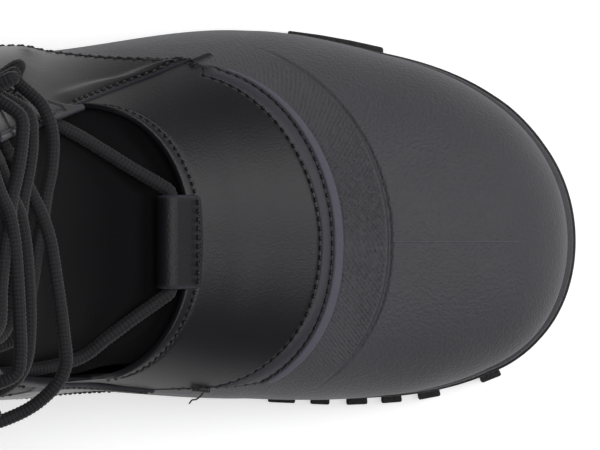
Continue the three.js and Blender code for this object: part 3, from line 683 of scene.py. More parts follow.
def leather_finish(name, colour, roughness, grain, specular=0.36):
    """Finished leather: fine cells with soft creases, a slow drift of gloss, and a rim of worn grain with a
    painted highlight.
    """
    made = Finish(name, **{"Specular IOR Level": specular})
    at = made.place()
    drift = made.noise(at, 14, 3.0)
    cells = made.cells(at, 1700, "SMOOTH_F1")
    fine = made.noise(at, 2600, 2.0)
    wear_and_highlight = made.layer("wear_and_highlight")
    relief = [
        (drift, 0.002, 0.06),
        (cells + fine * 0.5, 0.0002, grain),
        (made.noise(at, 5200, 1.0) * wear_and_highlight, 0.0003, 0.6),
    ]
    tone = made.blend(drift.above(0.3, 0.75), shade(colour, 0.8), shade(colour, 1.25))
    # The marked rims and strips are blended towards fourteen times lighter: a painted highlight, over grain
    # that is worn and rougher there.
    tone = made.blend(wear_and_highlight * (0.55 + fine * 0.45), tone, shade(colour, 14))
    return made.feed(tone, roughness + drift * 0.14 + wear_and_highlight * 0.15 - 0.05, relief)


def cloth_finish(name, colour, thread, weight=0.5):
    """A close plain weave: two crossed sets of threads on the piece's own UV map, with a soft nap."""
    made = Finish(name, **{"Specular IOR Level": 0.14, "Sheen Weight": 0.02, "Sheen Roughness": 0.6})
    along, across, _ = made.split(made.spread())
    weave = (along * (TURN / thread)).sine() * (across * (TURN / thread)).sine()
    at = made.place()
    nap = made.noise(at, 900, 3.0, 0.6)
    tone = made.blend((nap + weave * 0.25).above(0.2, 0.9), shade(colour, 0.7), shade(colour, 1.5))
    return made.feed(tone, nap * 0.1 + 0.86, [(nap, 0.0005, 0.35), (weave, 0.00018, weight)])


def cord_finish(name, colour):
    """Braid: the ridges are in the mesh, and each carrier has fine twisted fibres on the UV map."""
    made = Finish(name, **{"Specular IOR Level": 0.35, "Sheen Weight": 0.06, "Sheen Roughness": 0.5})
    around, along, _ = made.split(made.spread())
    fibres = (around * 90 + along * 6).sine()
    nap = made.noise(made.place(), 2400, 2.0)
    proud = made.layer("proud")
    # The braid's hollows are painted darker and its crests lighter: painted shade and painted highlight.
    tone = made.blend(proud * (0.6 + nap * 0.5), shade(colour, 0.25), shade(colour, 2.0))
    return made.feed(tone, nap * 0.15 + 0.66, [(fibres * 0.5 + nap, 0.0002, 0.3)])


def thread_finish(name, colour):
    """Waxed sewing thread with a fine twist."""
    made = Finish(name, **{"Specular IOR Level": 0.5})
    at = made.place()
    twist = made.noise(at, 3200, 2.0)
    tone = made.blend(twist, shade(colour, 0.6), shade(colour, 1.5))
    return made.feed(tone, twist * 0.2 + 0.45, [(twist, 0.0002, 0.4)])


def metal_finish(name, colour):
    """Black japanned metal, with lighter rubbed specks scattered over it."""
    made = Finish(name, **{"Metallic": 0.85, "Specular IOR Level": 0.5})
    speck = made.noise(made.place(), 700, 3.0)
    tone = made.blend(speck.above(0.55, 0.8), shade(colour, 0.8), shade(colour, 3))
    return made.feed(tone, speck * 0.25 + 0.28, [(speck, 0.0001, 0.3)])


def felt_finish(name, colour):
    """Brushed felt: tangled fibres at two scales."""
    made = Finish(name, **{"Specular IOR Level": 0.2, "Sheen Weight": 0.3, "Sheen Roughness": 0.7})
    at = made.place()
    tangle = made.noise(at, 520, 5.0, 0.7)
    clump = made.noise(at, 70, 3.0)
    tone = made.blend(tangle * 0.7 + clump * 0.3, shade(colour, 0.5), shade(colour, 1.6))
    return made.feed(tone, tangle * 0.05 + 0.92, [(clump, 0.002, 0.3), (tangle, 0.0008, 0.8)])


# ---------------------------------------------------------------- settings
def millimetres(name, words, default, low, high):
    words = words + ", in millimetres"
    return FloatProperty(name=name, description=words, default=default, min=low, max=high)


class BootSizes(bpy.types.PropertyGroup):
    stitch_pitch: millimetres("Stitch Pitch", "Distance between stitches", 3.0, 1, 8)
    thread: millimetres("Thread", "Radius of the sewing thread", 0.42, 0.1, 1)
    lace: millimetres("Lace Radius", "Radius of the laces", 2.0, 1, 3)
    seam_depth: millimetres("Seam Depth", "How far a stitch row sinks in", 0.45, 0, 1)
    columns: IntProperty(
        name="Columns", description="Grid columns round the shell and the sole", default=384, min=60, max=800
    )


def colour(name, words, default):
    return FloatVectorProperty(
        name=name, description=words, subtype="COLOR", size=3, min=0, max=1, default=default
    )


class BootColours(bpy.types.PropertyGroup):
    shell: colour("Shell", "Rubber of the shell and the band round the sole", (0.058, 0.0575, 0.067))
    outsole: colour("Outsole", "Rubber of the tread", (0.011, 0.011, 0.012))
    leather: colour("Leather", "Vamp, eyestays and backstay", (0.0080, 0.0078, 0.0103))
    quarter: colour("Quarter", "Glossier leather of the quarters", (0.0058, 0.0055, 0.0068))
    cloth: colour("Cloth", "Tongue", (0.0024, 0.0024, 0.0032))
    lace: colour("Lace", "Braided laces", (0.0085, 0.0085, 0.0105))
    thread: colour("Thread", "Sewing thread", (0.004, 0.004, 0.0045))
    metal: colour("Metal", "Eyelets", (0.02, 0.02, 0.022))
    felt: colour("Felt", "Lining and footbed", (0.006, 0.006, 0.0075))


class BootFinishes:
    """Makes each finish once, from the colours, when a piece first asks for it."""

    made = {}

    @classmethod
    def get(cls, name):
        if name not in cls.made:
            tint = bpy.context.scene.boot_colours
            makers = {
                "shell": lambda: rubber_finish("shell_rubber", tint.shell, knurled=True),
                "band": lambda: rubber_finish("band_rubber", tint.shell),
                "outsole": lambda: rubber_finish("outsole_rubber", tint.outsole),
                "vamp": lambda: leather_finish("vamp_leather", tint.leather, 0.43, 0.25),
                "quarter": lambda: leather_finish("quarter_leather", tint.quarter, 0.29, 0.22, 0.1),
                "eyestay": lambda: leather_finish("eyestay_leather", tint.leather, 0.5, 0.4, 0.3),
                "tongue": lambda: cloth_finish("tongue_cloth", tint.cloth, 0.55, 0.12),
                "lace": lambda: cord_finish("lace_braid", tint.lace),
                "thread": lambda: thread_finish("sewing_thread", tint.thread),
                "metal": lambda: metal_finish("eyelet_metal", tint.metal),
                "felt": lambda: felt_finish("lining_felt", tint.felt),
            }
            cls.made[name] = makers[name]()
        return cls.made[name]


# ---------------------------------------------------------------- rubber
GROOVE = {"x": 188, "reach": 60.3, "sides": ((64, 2.0, 70), (55.5, 2.2, 60)), "lower": 14}
GROOVE_FADE = {"lateral": (204, 226), "medial": (222, 244)}  # x where the groove comes up to nothing
KNURL_RADIUS = 62  # millimetres of the knurled band for each radian round the boot
MM_STEPS = np.array([-2.6, -1.9, -1.4, -1.0, -0.7, -0.45, -0.2, 0, 0.2, 0.45, 0.7, 1.0, 1.4, 1.9, 2.6])


def millimetre(a, v):
    """How much share v makes one millimetre up the meridian."""
    step = np.linalg.norm(last_point(a, np.minimum(1, v + 0.01)) - last_point(a, v), axis=-1)
    return 0.01 / np.maximum(0.05, step)


def shell_points(columns):
    """Rows from the sole to the groove, across it, up to the leather and on beneath it.

    The relief across the groove is a bell inwards with a small lip on both sides.
    """
    a = np.arange(columns) * TURN / columns
    groove = above_arc(a, GROOVE, GROOVE["lower"])
    edge = leather_edge(a)
    mm = millimetre(a, groove)
    wall = np.linspace(0, 1, 30) ** 0.9
    rows = [share * (groove - 3 * mm) for share in wall]
    rows += [groove + step * mm for step in MM_STEPS]
    rows += [mix(groove + 3.2 * mm, edge - 0.3 * mm, share) for share in np.linspace(0, 1, 10)]
    rows += [edge + step * mm for step in (1.0, 3.0, 6.0, 10.5)]
    v = np.array(rows)
    angle = np.broadcast_to(a, v.shape)
    p = last_point(angle, v)
    lateral = p[..., 1] > 0
    fade = np.where(lateral, *(smooth(p[..., 0], *GROOVE_FADE[side]) for side in ("lateral", "medial")))
    across = (v - groove) / mm
    lips = 0.16 * hump(across, 1.2, 0.5) + 0.12 * hump(across, -1.2, 0.5)
    relief = fade * (lips - 0.9 * hump(across, 0, 0.7))
    relief -= 0.5 * smooth(v, edge - 0.2 * mm, edge + 0.8 * mm)
    knurl = smooth(across, 1.4, 2.2) * (0.25 + 0.75 * fade) * smooth(np.abs(a - np.pi), 0.03, 0.15)
    along = np.broadcast_to(np.where(a > np.pi, a - TURN, a) * KNURL_RADIUS, v.shape)
    return a, v, relief, knurl, np.stack([along, across], axis=-1)


def build_shell(sizes):
    """A closed wall: the outer grid, then the same rows inside it, joined at the sole and at the rim."""
    a, v, relief, knurl, spread = shell_points(sizes.columns)
    outer = offset_point(a, v, relief)
    inner_rows = v[::4][::-1]
    inner = offset_point(a, inner_rows, -SHELL_WALL)
    grid = np.concatenate([outer, inner])
    knurl = np.concatenate([knurl, np.zeros(inner_rows.shape)])
    spread = np.concatenate([spread, np.zeros(inner_rows.shape + (2,))])
    faces = grid_faces(len(grid), sizes.columns, wrap_rows=True, wrap_columns=True)
    make_piece(
        "shell_rubber",
        grid.reshape(-1, 3),
        [faces],
        BootFinishes.get("shell"),
        ["shell"],
        {"knurl": knurl},
        spread,
    )


def toe_spring(x):
    return TOE_SPRING["rise"] * (np.maximum(0, x - TOE_SPRING["from"]) / (TOE_X - TOE_SPRING["from"])) ** 2


def sole_low(x):
    """Underside of the sole between the lugs."""
    return toe_spring(x) + ARCH["rise"] * hump(x, ARCH["at"], ARCH["spread"]) + TREAD_DEPTH


def sole_outline(columns):
    """The foot of the last moved out by the flange, with its outward normals in plan."""
    a = np.arange(columns) * TURN / columns
    point = last_point(a, np.zeros(columns))
    normal = last_normal(a, np.zeros(columns))
    normal[:, 2] = 0
    normal = unit(normal)
    flange = np.interp(point[:, 0], SOLE_FLANGE[:, 0], SOLE_FLANGE[:, 1])
    return point + normal * flange[:, None], normal


CAP_INSET = 14.0  # how far the centre line stops short of the heel and the toe


def sole_slab(outline, normal, rows):
    """Rings over an outline. Each row is (share of the way out from the centre line, outset, height(x)).

    The first and last rows lie on the centre line, where both sides meet and close the slab.
    """
    columns = len(outline)
    partner = outline[(-np.arange(columns)) % columns]
    centre = (outline + partner) / 2
    centre[:, 0] = np.clip(centre[:, 0], outline[:, 0].min() + CAP_INSET, outline[:, 0].max() - CAP_INSET)
    rings = []
    for share, outset, height in rows:
        ring = centre + (outline + normal * outset - centre) * share
        ring[:, 2] = height(ring[:, 0])
        rings.append(ring)
    return np.array(rings)


SPLIT = 0.42  # share of the sole's height where the tread's body ends and the band starts
# Share of the way out from the centre line, outset, share of the sole's height, and lift.
BODY_ROWS = (
    (0, 0, 0, 0),
    (0.5, 0, 0, 0),
    (1, -1.6, 0, 0),
    (1, -0.6, 0.02, 0.1),
    (1, -0.1, 0.08, 0),
    (1, 0, 0.2, 0),
    (1, 0, SPLIT, -1.0),
    (1, -0.3, SPLIT, -0.35),
    (1, -1.4, SPLIT, 0),
    (0.5, 0, SPLIT, 0),
    (0, 0, SPLIT, 0),
)
BAND_ROWS = (
    (0, 0, SPLIT, 0.1),
    (1, -4, SPLIT, 0.1),
    (1, -1.3, SPLIT, 0.15),
    (1, -0.75, SPLIT, 0.6),
    (1, -0.7, 0.62, 0),
    (1, -1.0, 0.66, 0),
    (1, -1.0, 0.7, 0),
    (1, -0.7, 0.74, 0),
    (1, -0.75, 0.82, 0),
    (1, -1.1, 0.9, 0),
    (1, -1.9, 0.96, 0),
    (1, -3.0, 0.99, 0),
    (1, -6, 1.0, 0),
    (0, 0, 1.0, 0),
)


def build_sole(sizes):
    """The tread's body, and above it the band in the shell's rubber, drawn in a little round the toe."""

    def level(share, lift):
        return lambda x: mix(sole_low(x), sole_top(x), share) + lift

    outline, normal = sole_outline(sizes.columns)
    drawn_in = (0.3 * smooth(outline[:, 0], 262, 284))[:, None]
    slabs = (
        ("outsole_body", BODY_ROWS, 0, "outsole", "outsole", ["outsole"]),
        ("sole_band", BAND_ROWS, drawn_in, "band", "shell", ()),
    )
    for name, table, inset, finish, slot, nodes in slabs:
        rows = [(share, outset - inset, level(at, lift)) for share, outset, at, lift in table]
        rings = sole_slab(outline, normal, rows)
        faces = grid_faces(len(rings), sizes.columns, wrap_columns=True)
        make_piece(name, rings, [faces], BootFinishes.get(finish), nodes)


EDGE_LUG = {"pitch": 11.8, "width": 7, "depth": 19, "recess": 1, "taper": 1.5}
# x and width of each bold lug.
BOLD_LUGS = np.array([(212.5, 9), (225.5, 6.4), (237.3, 7), (249.4, 6.8), (261.5, 7.4), (280.3, 7)])
BOLD_RANGE = (200, 290)
BOLD_PROUD = 2.1
LATERAL_BLOCK = {"from": 216, "to": 247, "proud": 1.8, "depth": 9}
MIDDLE_LUG = {"from": 30, "to": 272, "pitch": 15, "length": 9, "width": 15, "channel": 5, "skew": 2}
LUG_SINK = 2.0  # how far a lug's root goes up into the sole


def edge_lug_corners(outline, index, width, proud):
    """Four corners in plan for lugs at points of the outline, square to it."""
    here = outline[index]
    along = unit((outline[(index + 1) % len(outline)] - here) * (1, 1, 0))
    out = np.stack([along[:, 1], -along[:, 0], np.zeros(len(index))], axis=-1)
    wide = (np.asarray(width) / 2 * np.ones(len(index)))[:, None]
    deep, narrow = EDGE_LUG["depth"], wide - EDGE_LUG["taper"]
    corners = [proud * out - wide * along, proud * out + wide * along]
    corners += [narrow * along - deep * out, -narrow * along - deep * out]
    return here[:, None, :] + np.stack(corners, axis=1)


def edge_lugs(outline):
    gone = np.concatenate([[0], np.cumsum(np.linalg.norm(np.diff(outline, axis=0), axis=1))])
    step = np.floor(gone / EDGE_LUG["pitch"])
    index = np.flatnonzero(np.diff(step) > 0)
    x, y = outline[index, 0], outline[index, 1]
    arched = np.abs(x - ARCH["at"]) < ARCH["spread"] + 4
    bold = (y < 0) & (x > BOLD_RANGE[0]) & (x < BOLD_RANGE[1])
    plain = edge_lug_corners(outline, index[~arched & ~bold], EDGE_LUG["width"], -EDGE_LUG["recess"])
    medial = (outline[None, :, 1] < 0) & (outline[None, :, 0] > BOLD_LUGS[:, :1])
    proud = edge_lug_corners(outline, np.argmax(medial, axis=1), BOLD_LUGS[:, 1], BOLD_PROUD)
    return np.concatenate([proud, plain])


def middle_lugs():
    size = MIDDLE_LUG
    x = np.arange(size["from"], size["to"], size["pitch"], dtype=float)
    x = x[np.abs(x - ARCH["at"]) >= ARCH["spread"] + 10]
    centre = np.where(x > ARCH["at"], 8, 4)
    step = (size["width"] + size["channel"]) / 2
    half, wide, skew = size["length"] / 2, size["width"] / 2, size["skew"]
    plan = np.array([(-half, -wide, 0), (half, -wide, 0), (half - skew, wide, 0), (-half - skew, wide, 0)])
    middles = [np.stack([x, centre + side * step, 0 * x], axis=-1) for side in (-1, 1)]
    return np.concatenate(middles)[:, None, :] + plan


def lateral_block(outline):
    """The one long block beside the lateral ball, as three four-cornered lengths that follow the edge."""
    size = LATERAL_BLOCK
    x = np.linspace(size["from"], size["to"], 4)
    edge = outline[outline[:, 1] > 0]
    y = np.interp(x, edge[::-1, 0], edge[::-1, 1])
    outer = np.stack([x, y + size["proud"], 0 * x], axis=-1)
    inner = outer - (0, size["proud"] + size["depth"], 0)
    return np.stack([inner[:-1], inner[1:], outer[1:], outer[:-1]], axis=1)


def build_lugs(sizes):
    """Every lug is a block from the floor, or the toe spring, up into the sole, with bevelled edges."""
    outline, _ = sole_outline(480)
    corners = np.concatenate([edge_lugs(outline), lateral_block(outline), middle_lugs()])
    low, high = corners.copy(), corners.copy()
    low[..., 2] = toe_spring(corners[..., 0])
    high[..., 2] = sole_low(corners[..., 0]) + LUG_SINK
    points = np.concatenate([low, high], axis=1).reshape(-1, 3)
    box = np.array([[0, 3, 2, 1], [4, 5, 6, 7], [0, 1, 5, 4], [1, 2, 6, 5], [2, 3, 7, 6], [3, 0, 4, 7]])
    faces = (box[None] + 8 * np.arange(len(corners))[:, None, None]).reshape(-1, 4)
    piece = make_piece("tread_lugs", points, [faces], BootFinishes.get("outsole"), weld=0.0001)
    piece.data.polygons.foreach_set("use_smooth", np.zeros(len(piece.data.polygons), bool))
    bevel = piece.modifiers.new("rounded_edges", "BEVEL")
    bevel.width = 0.0007
    bevel.segments = 3


# ---------------------------------------------------------------- leather
SIDES = ((1.0, "lateral"), (-1.0, "medial"))
STITCH = 0.66  # a stitch's share of its pitch
FINE_WELD = 0.00001  # millimetres, for pieces whose points lie close together


def sew(name, parts):
    """One piece of thread from several rows of stitches."""
    points, faces = joined(parts)
    make_piece(name, points, faces, BootFinishes.get("thread"), weld=FINE_WELD)


def on_outside(values):
    """A layer for a closed sheet: the values on its outer grid and 0 on its inner one."""
    return np.concatenate([values.ravel(), np.zeros(values.size)])


BARTACK_X = 192.0
SEAM = (((192, 57.3), (150.8, 39.9)), ((192, -46.4), (150.8, -41.4)))  # vamp seam in plan, each side
ROW_B = {"x": 187.5, "reach": 41.8, "sides": ((53.0, 1.95, 60), (46.2, 2.3, 53))}
ROW_A = {"x": 184, "reach": 41.6, "sides": ((51.0, 1.9, 58), (44.0, 2.25, 51))}
VAMP = {"outer": 2.1, "inner": 0.3, "behind": 9.0, "edge_radius": 1.3}


def bartack_angle(side):
    """Angle on the leather's edge at the bartack's x."""
    sign = SIDES[side][0]

    def passed(a):
        return last_point(sign * a, leather_edge(sign * a))[..., 0] < BARTACK_X

    return float(halve(np.zeros(1), np.full(1, np.pi * 0.6), passed)[0])


def throat_outline(count):
    """The vamp's inner edge in plan: an arch over the front and a straight run back on both sides."""
    turn = np.linspace(np.pi / 2, -np.pi / 2, count)
    power = 2 / THROAT["roundness"]
    across = np.sign(turn) * np.abs(np.sin(turn)) ** power
    x = THROAT["x"] + THROAT["reach"] * np.abs(np.cos(turn)) ** power
    y = across * np.where(across > 0, THROAT_EDGE[0, 1], THROAT_EDGE[0, 2])
    back = 14.0
    x = np.concatenate([[THROAT["x"] - back], x, [THROAT["x"] - back]])
    y = np.concatenate([[y[0]], y, [y[-1]]])
    gone = np.concatenate([[0], np.cumsum(np.hypot(np.diff(x), np.diff(y)))])
    at = np.linspace(0, gone[-1], count)
    return np.interp(at, gone, x), np.interp(at, gone, y)


def vamp_grid():
    """Angles and shares of the vamp, and for each point its distances from both edges and the rows.

    From the lower edge each column climbs its meridian past stitch rows B and A, and from there runs
    straight, in angle and share, to the throat's outline.
    """
    columns = 220
    behind = VAMP["behind"] / 60
    lateral, medial = bartack_angle(0), -bartack_angle(1)
    a = np.linspace(lateral + behind, medial - behind, columns)
    edge = leather_edge(a)
    ahead = smooth(a, medial, medial + 0.08) * (1 - smooth(a, lateral - 0.08, lateral))
    row_b = np.maximum(above_arc(a, ROW_B), edge)
    row_a = np.maximum(above_arc(a, ROW_A), row_b)
    mm = millimetre(a, edge)
    row_b = mix(edge + 2.2 * mm, np.maximum(row_b, edge + 1.8 * mm), ahead)
    row_a = mix(row_b + 2.0 * mm, np.maximum(row_a, row_b + 1.6 * mm), ahead)
    x, y = throat_outline(columns)
    inner_a, inner_v = place_plan(x, y)
    low = np.array([0, 0.04, 0.1, 0.2, 0.34, 0.5, 0.64, 0.76, 0.86, 0.94])
    between = np.array([0, 0.06, 0.14, 0.26, 0.4, 0.55, 0.7, 0.82, 0.92])
    v_rows = [mix(edge, row_b, f) for f in low] + [mix(row_b, row_a, f) for f in between]
    a_rows = [a] * len(v_rows)
    span = np.linalg.norm(last_point(inner_a, inner_v) - last_point(a, row_a), axis=-1)
    near = np.array([0, 0.4, 0.8, 1.4, 2.2])
    middle = np.linspace(0, 1, 26)[1:-1]
    far = np.array([7.5, 6.4, 5.5, 4.9, 4.4, 4.0, 3.6, 3.1, 2.5, 1.9, 1.4, 1.0, 0.6, 0.3, 0.12, 0])
    steps = [d / span for d in near]
    steps += [mix(2.8 / span, 1 - 8.3 / span, f) for f in middle]
    steps += [1 - d / span for d in far]
    a_rows += [mix(a, inner_a, f) for f in steps]
    v_rows += [mix(row_a, inner_v, f) for f in steps]
    a_grid, v_grid = np.array(a_rows), np.array(v_rows)
    rows = {"b": len(low), "a": len(low) + len(between), "throat": len(a_grid) - 11}
    return a_grid, v_grid, rows, ahead


def along_columns(points):
    """Distance of each grid point from the first row, up its own column."""
    steps = np.linalg.norm(np.diff(points, axis=0), axis=-1)
    return np.concatenate([np.zeros((1, points.shape[1])), np.cumsum(steps, axis=0)])


def build_vamp(sizes):
    """A sheet over the vamp's grid: its thickness with round edges, less a trough along each stitch row."""
    a, v, rows, ahead = vamp_grid()
    base = last_point(a, v)
    gone = along_columns(base)
    to_b, to_a, to_throat = (gone - gone[rows[key]] for key in ("b", "a", "throat"))
    from_throat = gone[-1] - gone
    height = VAMP["outer"] * rounded(gone, VAMP["edge_radius"]) * rounded(from_throat, 0.9)
    strip = ahead * smooth(-to_b, 0.3, 1.2) * smooth(gone, 0.1, 0.9)
    height = height + 0.25 * strip + 0.22 * hump((to_a + to_b) / 2, 0, 1.6) * (to_b > 0) * (to_a < 0)
    sunk = sizes.seam_depth
    troughs = ahead * (hump(to_b, 0, 0.6) + hump(to_a, 0, 0.6)) + 0.8 * hump(to_throat, 0, 0.7)
    height = height - sunk * troughs
    height = height + creases(base)
    outer = offset_point(a, v, np.maximum(height, VAMP["inner"] + 0.05))
    inner = offset_point(a, v, VAMP["inner"])
    # The strip past row B and the leather between the rows are marked to be painted lighter by the finish: a
    # painted highlight, with worn grain.
    between = 0.3 * ahead * (to_b > 0.4) * (to_a < -0.4)
    wear_and_highlight = on_outside(np.maximum(strip * smooth(gone, 0.3, 1.0), between))
    points, faces = patch_solid(outer, inner)
    make_piece("vamp", points, faces, BootFinishes.get("vamp"), ["upper"], {"wear_and_highlight": wear_and_highlight})
    level = VAMP["outer"] - sunk * 0.75
    parts = []
    # Each row: columns left out at its ends, its share of the pitch, and a stitch's share of its own.
    for key, ends, spacing, share in (("b", 8, 1, STITCH), ("a", 8, 1, STITCH), ("throat", 26, 0.8, 0.7)):
        row_a, row_v = a[rows[key], ends:-ends], v[rows[key], ends:-ends]
        pitch, length = sizes.stitch_pitch * spacing, sizes.stitch_pitch * share * spacing
        parts.append(surface_stitches(row_a, row_v, level, pitch, length, sizes.thread))
    sew("vamp_stitches", parts)


QUARTER = {"outer": 2.2, "inner": 0.35, "lap": 6.0, "proud": 0.9}
SEAM_ROW = 1.9  # stitch row behind the front edge of a quarter
FOOT_ROWS = (2.4, 5.6)  # stitch rows above the leather's lower edge
QUARTER_MM = 148  # about the way from the leather's lower edge to the collar


def quarter_front(h, side):
    """Angle of a quarter's front edge at heights h: behind the vamp seam and outside the throat."""
    (x1, y1), (x2, y2) = SEAM[side]
    sign = SIDES[side][0]

    def passed(a):
        p = last_point(sign * a, rise(sign * a, h))
        x, y = p[..., 0], np.abs(p[..., 1])
        line = abs(y2) + (np.minimum(x, x1 + 3) - x2) * (abs(y1) - abs(y2)) / (x1 - x2)
        behind = (y > line) & (x < x1)
        return behind & (y > throat_edge(sign, p[..., 2]))

    a = halve(np.zeros(len(h)), np.full(len(h), np.pi * 0.62), passed)
    return sign * a


def quarter_heights():
    """Shares of a quarter's height, close together near the stitch rows at its foot."""
    near = [0, 0.15, 0.4, 0.8, 1.3, 1.8, 2.1, 2.4, 2.7, 3.2, 4.0, 4.8, 5.3, 5.6, 5.9, 6.5, 7.6, 9.5]
    return np.concatenate([np.array(near) / QUARTER_MM, np.linspace(12 / QUARTER_MM, 1, 74)])


QUARTER_NEAR = np.array(
    [0, 0.12, 0.3, 0.6, 1.0, 1.35, 1.65, 1.9, 2.15, 2.5, 3.0, 3.8, 4.6, 5.3, 6, 6.8, 7.8, 9]
)


def quarter_steps(lengths):
    near = np.broadcast_to(QUARTER_NEAR, (len(lengths), len(QUARTER_NEAR)))
    return np.concatenate([near, np.linspace(11, lengths, 60, axis=-1)], axis=1)


def softened(values):
    """A run of numbers, eased: twice over, each becomes half itself and a quarter of both neighbours."""
    values = values.copy()
    for _ in range(2):
        values[1:-1] = values[1:-1] / 2 + (values[:-2] + values[2:]) / 4
    return values


def build_quarters(sizes):
    """Each quarter runs from the seam and the throat's edge to the heel, from lower edge to collar."""
    h = quarter_heights()
    stitches = []
    for side, (sign, name) in enumerate(SIDES):
        front = softened(quarter_front(h, side))
        back = np.full(len(h), sign * np.pi)
        a, front_mm, _ = arc_columns(front, back, h, quarter_steps)
        heights = np.broadcast_to(h[:, None], a.shape)
        v = rise(a, heights)
        base = last_point(a, v)
        foot_mm = heights * QUARTER_MM
        lap = 1 - smooth(front_mm, QUARTER["lap"] - 1.2, QUARTER["lap"] + 1.6)
        low = smooth(base[..., 2], 112, 124)
        proud = QUARTER["proud"] * lap * (1 - 0.7 * low)
        height = QUARTER["outer"] + proud
        sunk = sizes.seam_depth * (0.9 * hump(front_mm, SEAM_ROW, 0.6))
        sunk = sunk + sizes.seam_depth * 0.8 * sum(hump(foot_mm, row, 0.6) for row in FOOT_ROWS)
        height = (height - sunk) * rounded(front_mm, 1.0) * rounded(foot_mm, 1.0) + creases(base)
        under = QUARTER["inner"] + (VAMP["outer"] + 0.05 - QUARTER["inner"]) * lap * (1 - low)
        under = np.minimum(under, height - 0.1)
        outer = offset_point(a, v, np.maximum(height, 0.4))
        inner = offset_point(a, v, under)
        points, faces = patch_solid(outer, inner)
        # A thin band along the front edge is marked to be painted lighter: a painted highlight on the edge,
        # with worn grain.
        layers = {"wear_and_highlight": on_outside(0.35 * hump(front_mm, 0.5, 0.7))}
        make_piece(f"quarter_{name}", points, faces, BootFinishes.get("quarter"), layers=layers)
        pitch, thread = sizes.stitch_pitch, sizes.thread
        at = int(np.argmin(np.abs(QUARTER_NEAR - SEAM_ROW)))
        seam = slice(3, 52)
        level = QUARTER["outer"] + proud[seam, at] - sizes.seam_depth * 0.75
        stitches.append(surface_stitches(a[seam, at], v[seam, at], level, pitch, pitch * STITCH, thread))
        for row in FOOT_ROWS:
            r = int(np.argmin(np.abs(h * QUARTER_MM - row)))
            run = slice(10, -6)
            level = QUARTER["outer"] - sizes.seam_depth * 0.6
            stitches.append(surface_stitches(a[r, run], v[r, run], level, pitch, pitch * STITCH, thread))
    sew("quarter_stitches", stitches)


def throat_arch(x, past):
    """What is left of the throat's width at x: 1 behind the arch, and 0 a distance past its front."""
    ahead = np.clip((x - THROAT["x"]) / (THROAT["reach"] + past), 0, 1)
    return (1 - ahead ** THROAT["roundness"]) ** (1 / THROAT["roundness"])


def throat_side(a, h, sign, past):
    """True where a point lies a distance outside the throat: beyond its edge, or ahead of its arch."""
    p = last_point(sign * a, rise(sign * a, h))
    return np.abs(p[..., 1]) >= (throat_edge(sign, p[..., 2]) + past) * throat_arch(p[..., 0], past)


def throat_angles(h, sign):
    """The angle of the throat's edge in each row."""
    low, high = np.zeros(len(h)), np.full(len(h), np.pi * 0.6)
    return sign * halve(low, high, lambda a: throat_side(a, h, sign, 0))


def strip_steps(width):
    """Distances across a strip of the given widths, close together near both edges."""
    near = np.array([0, 0.15, 0.35, 0.7, 1.1, 1.5, 1.8, 2.1, 2.5, 3.0])
    near = near[None, :] * np.minimum(1, width / 8)[:, None]
    inside = np.linspace(near[:, -1], width - near[:, -1], 12, axis=-1)[:, 1:-1]
    return np.concatenate([near, inside, width[:, None] - near[:, ::-1]], axis=1)


def strip_piece(name, a, v, across, width, heights, rows_mm, sizes):
    """A leather strip on the last: a slab between two heights with round edges and sunk stitch rows.

    rows_mm are the stitch rows' distances from both long edges. Returns the stitches' parts.
    """
    outer_height, inner_height = heights
    base = last_point(a, v)
    from_edge = np.minimum(across, width[:, None] - across)
    full = rounded(from_edge, 0.8) * (outer_height - inner_height)
    sunk = sizes.seam_depth * sum(hump(from_edge, row, 0.55) for row in rows_mm)
    height = inner_height + np.maximum(0.06, full - sunk * (width[:, None] > 5)) + creases(base)
    # Both long edges are marked to be painted lighter: a painted highlight on the edges, with worn grain.
    wear_and_highlight = on_outside(0.3 * hump(from_edge, 0.4, 0.5))
    points, faces = patch_solid(offset_point(a, v, height), offset_point(a, v, inner_height + creases(base)))
    make_piece(name, points, faces, BootFinishes.get("eyestay"), layers={"wear_and_highlight": wear_and_highlight})
    stitches = []
    for row in rows_mm:
        for side in (0, 1):
            column = int(np.argmin(np.abs(strip_steps(np.array([30.0]))[0] - row)))
            column = column if side == 0 else a.shape[1] - 1 - column
            wide = width > 8
            path_a, path_v = a[wide, column], v[wide, column]
            level = outer_height - sizes.seam_depth * 0.6 + creases(last_point(path_a, path_v))
            pitch = sizes.stitch_pitch
            stitches.append(surface_stitches(path_a, path_v, level, pitch, pitch * STITCH, sizes.thread))
    return stitches


EYESTAY = {"wide": 20.0, "grows": (113, 156), "from": 114.5, "heights": (3.1, 2.0)}


def build_eyestays(sizes):
    """A strip from the throat's edge backwards that widens with height; the eyelets sit in it."""
    stitches = []
    for sign, name in SIDES:
        h = np.linspace(0, 1, 240)
        front = throat_angles(h, sign)
        height = last_point(front, rise(front, h))[:, 2]
        h = h[(height > EYESTAY["from"]) & (np.abs(front) < 1.5)]
        front = throat_angles(h, sign)
        height = last_point(front, rise(front, h))[:, 2]
        width = 2 + (EYESTAY["wide"] - 2) * smooth(height, *EYESTAY["grows"])
        back = np.full(len(h), sign * np.pi)
        a, across, _ = arc_columns(front, back, h, lambda lengths: strip_steps(width))
        v = rise(a, np.broadcast_to(h[:, None], a.shape))
        stitches += strip_piece(f"eyestay_{name}", a, v, across, width, EYESTAY["heights"], (2.1,), sizes)
    sew("eyestay_stitches", stitches)


BACKSTAY = {"bottom": 13.0, "top": 9.0, "heights": (3.0, 2.0)}


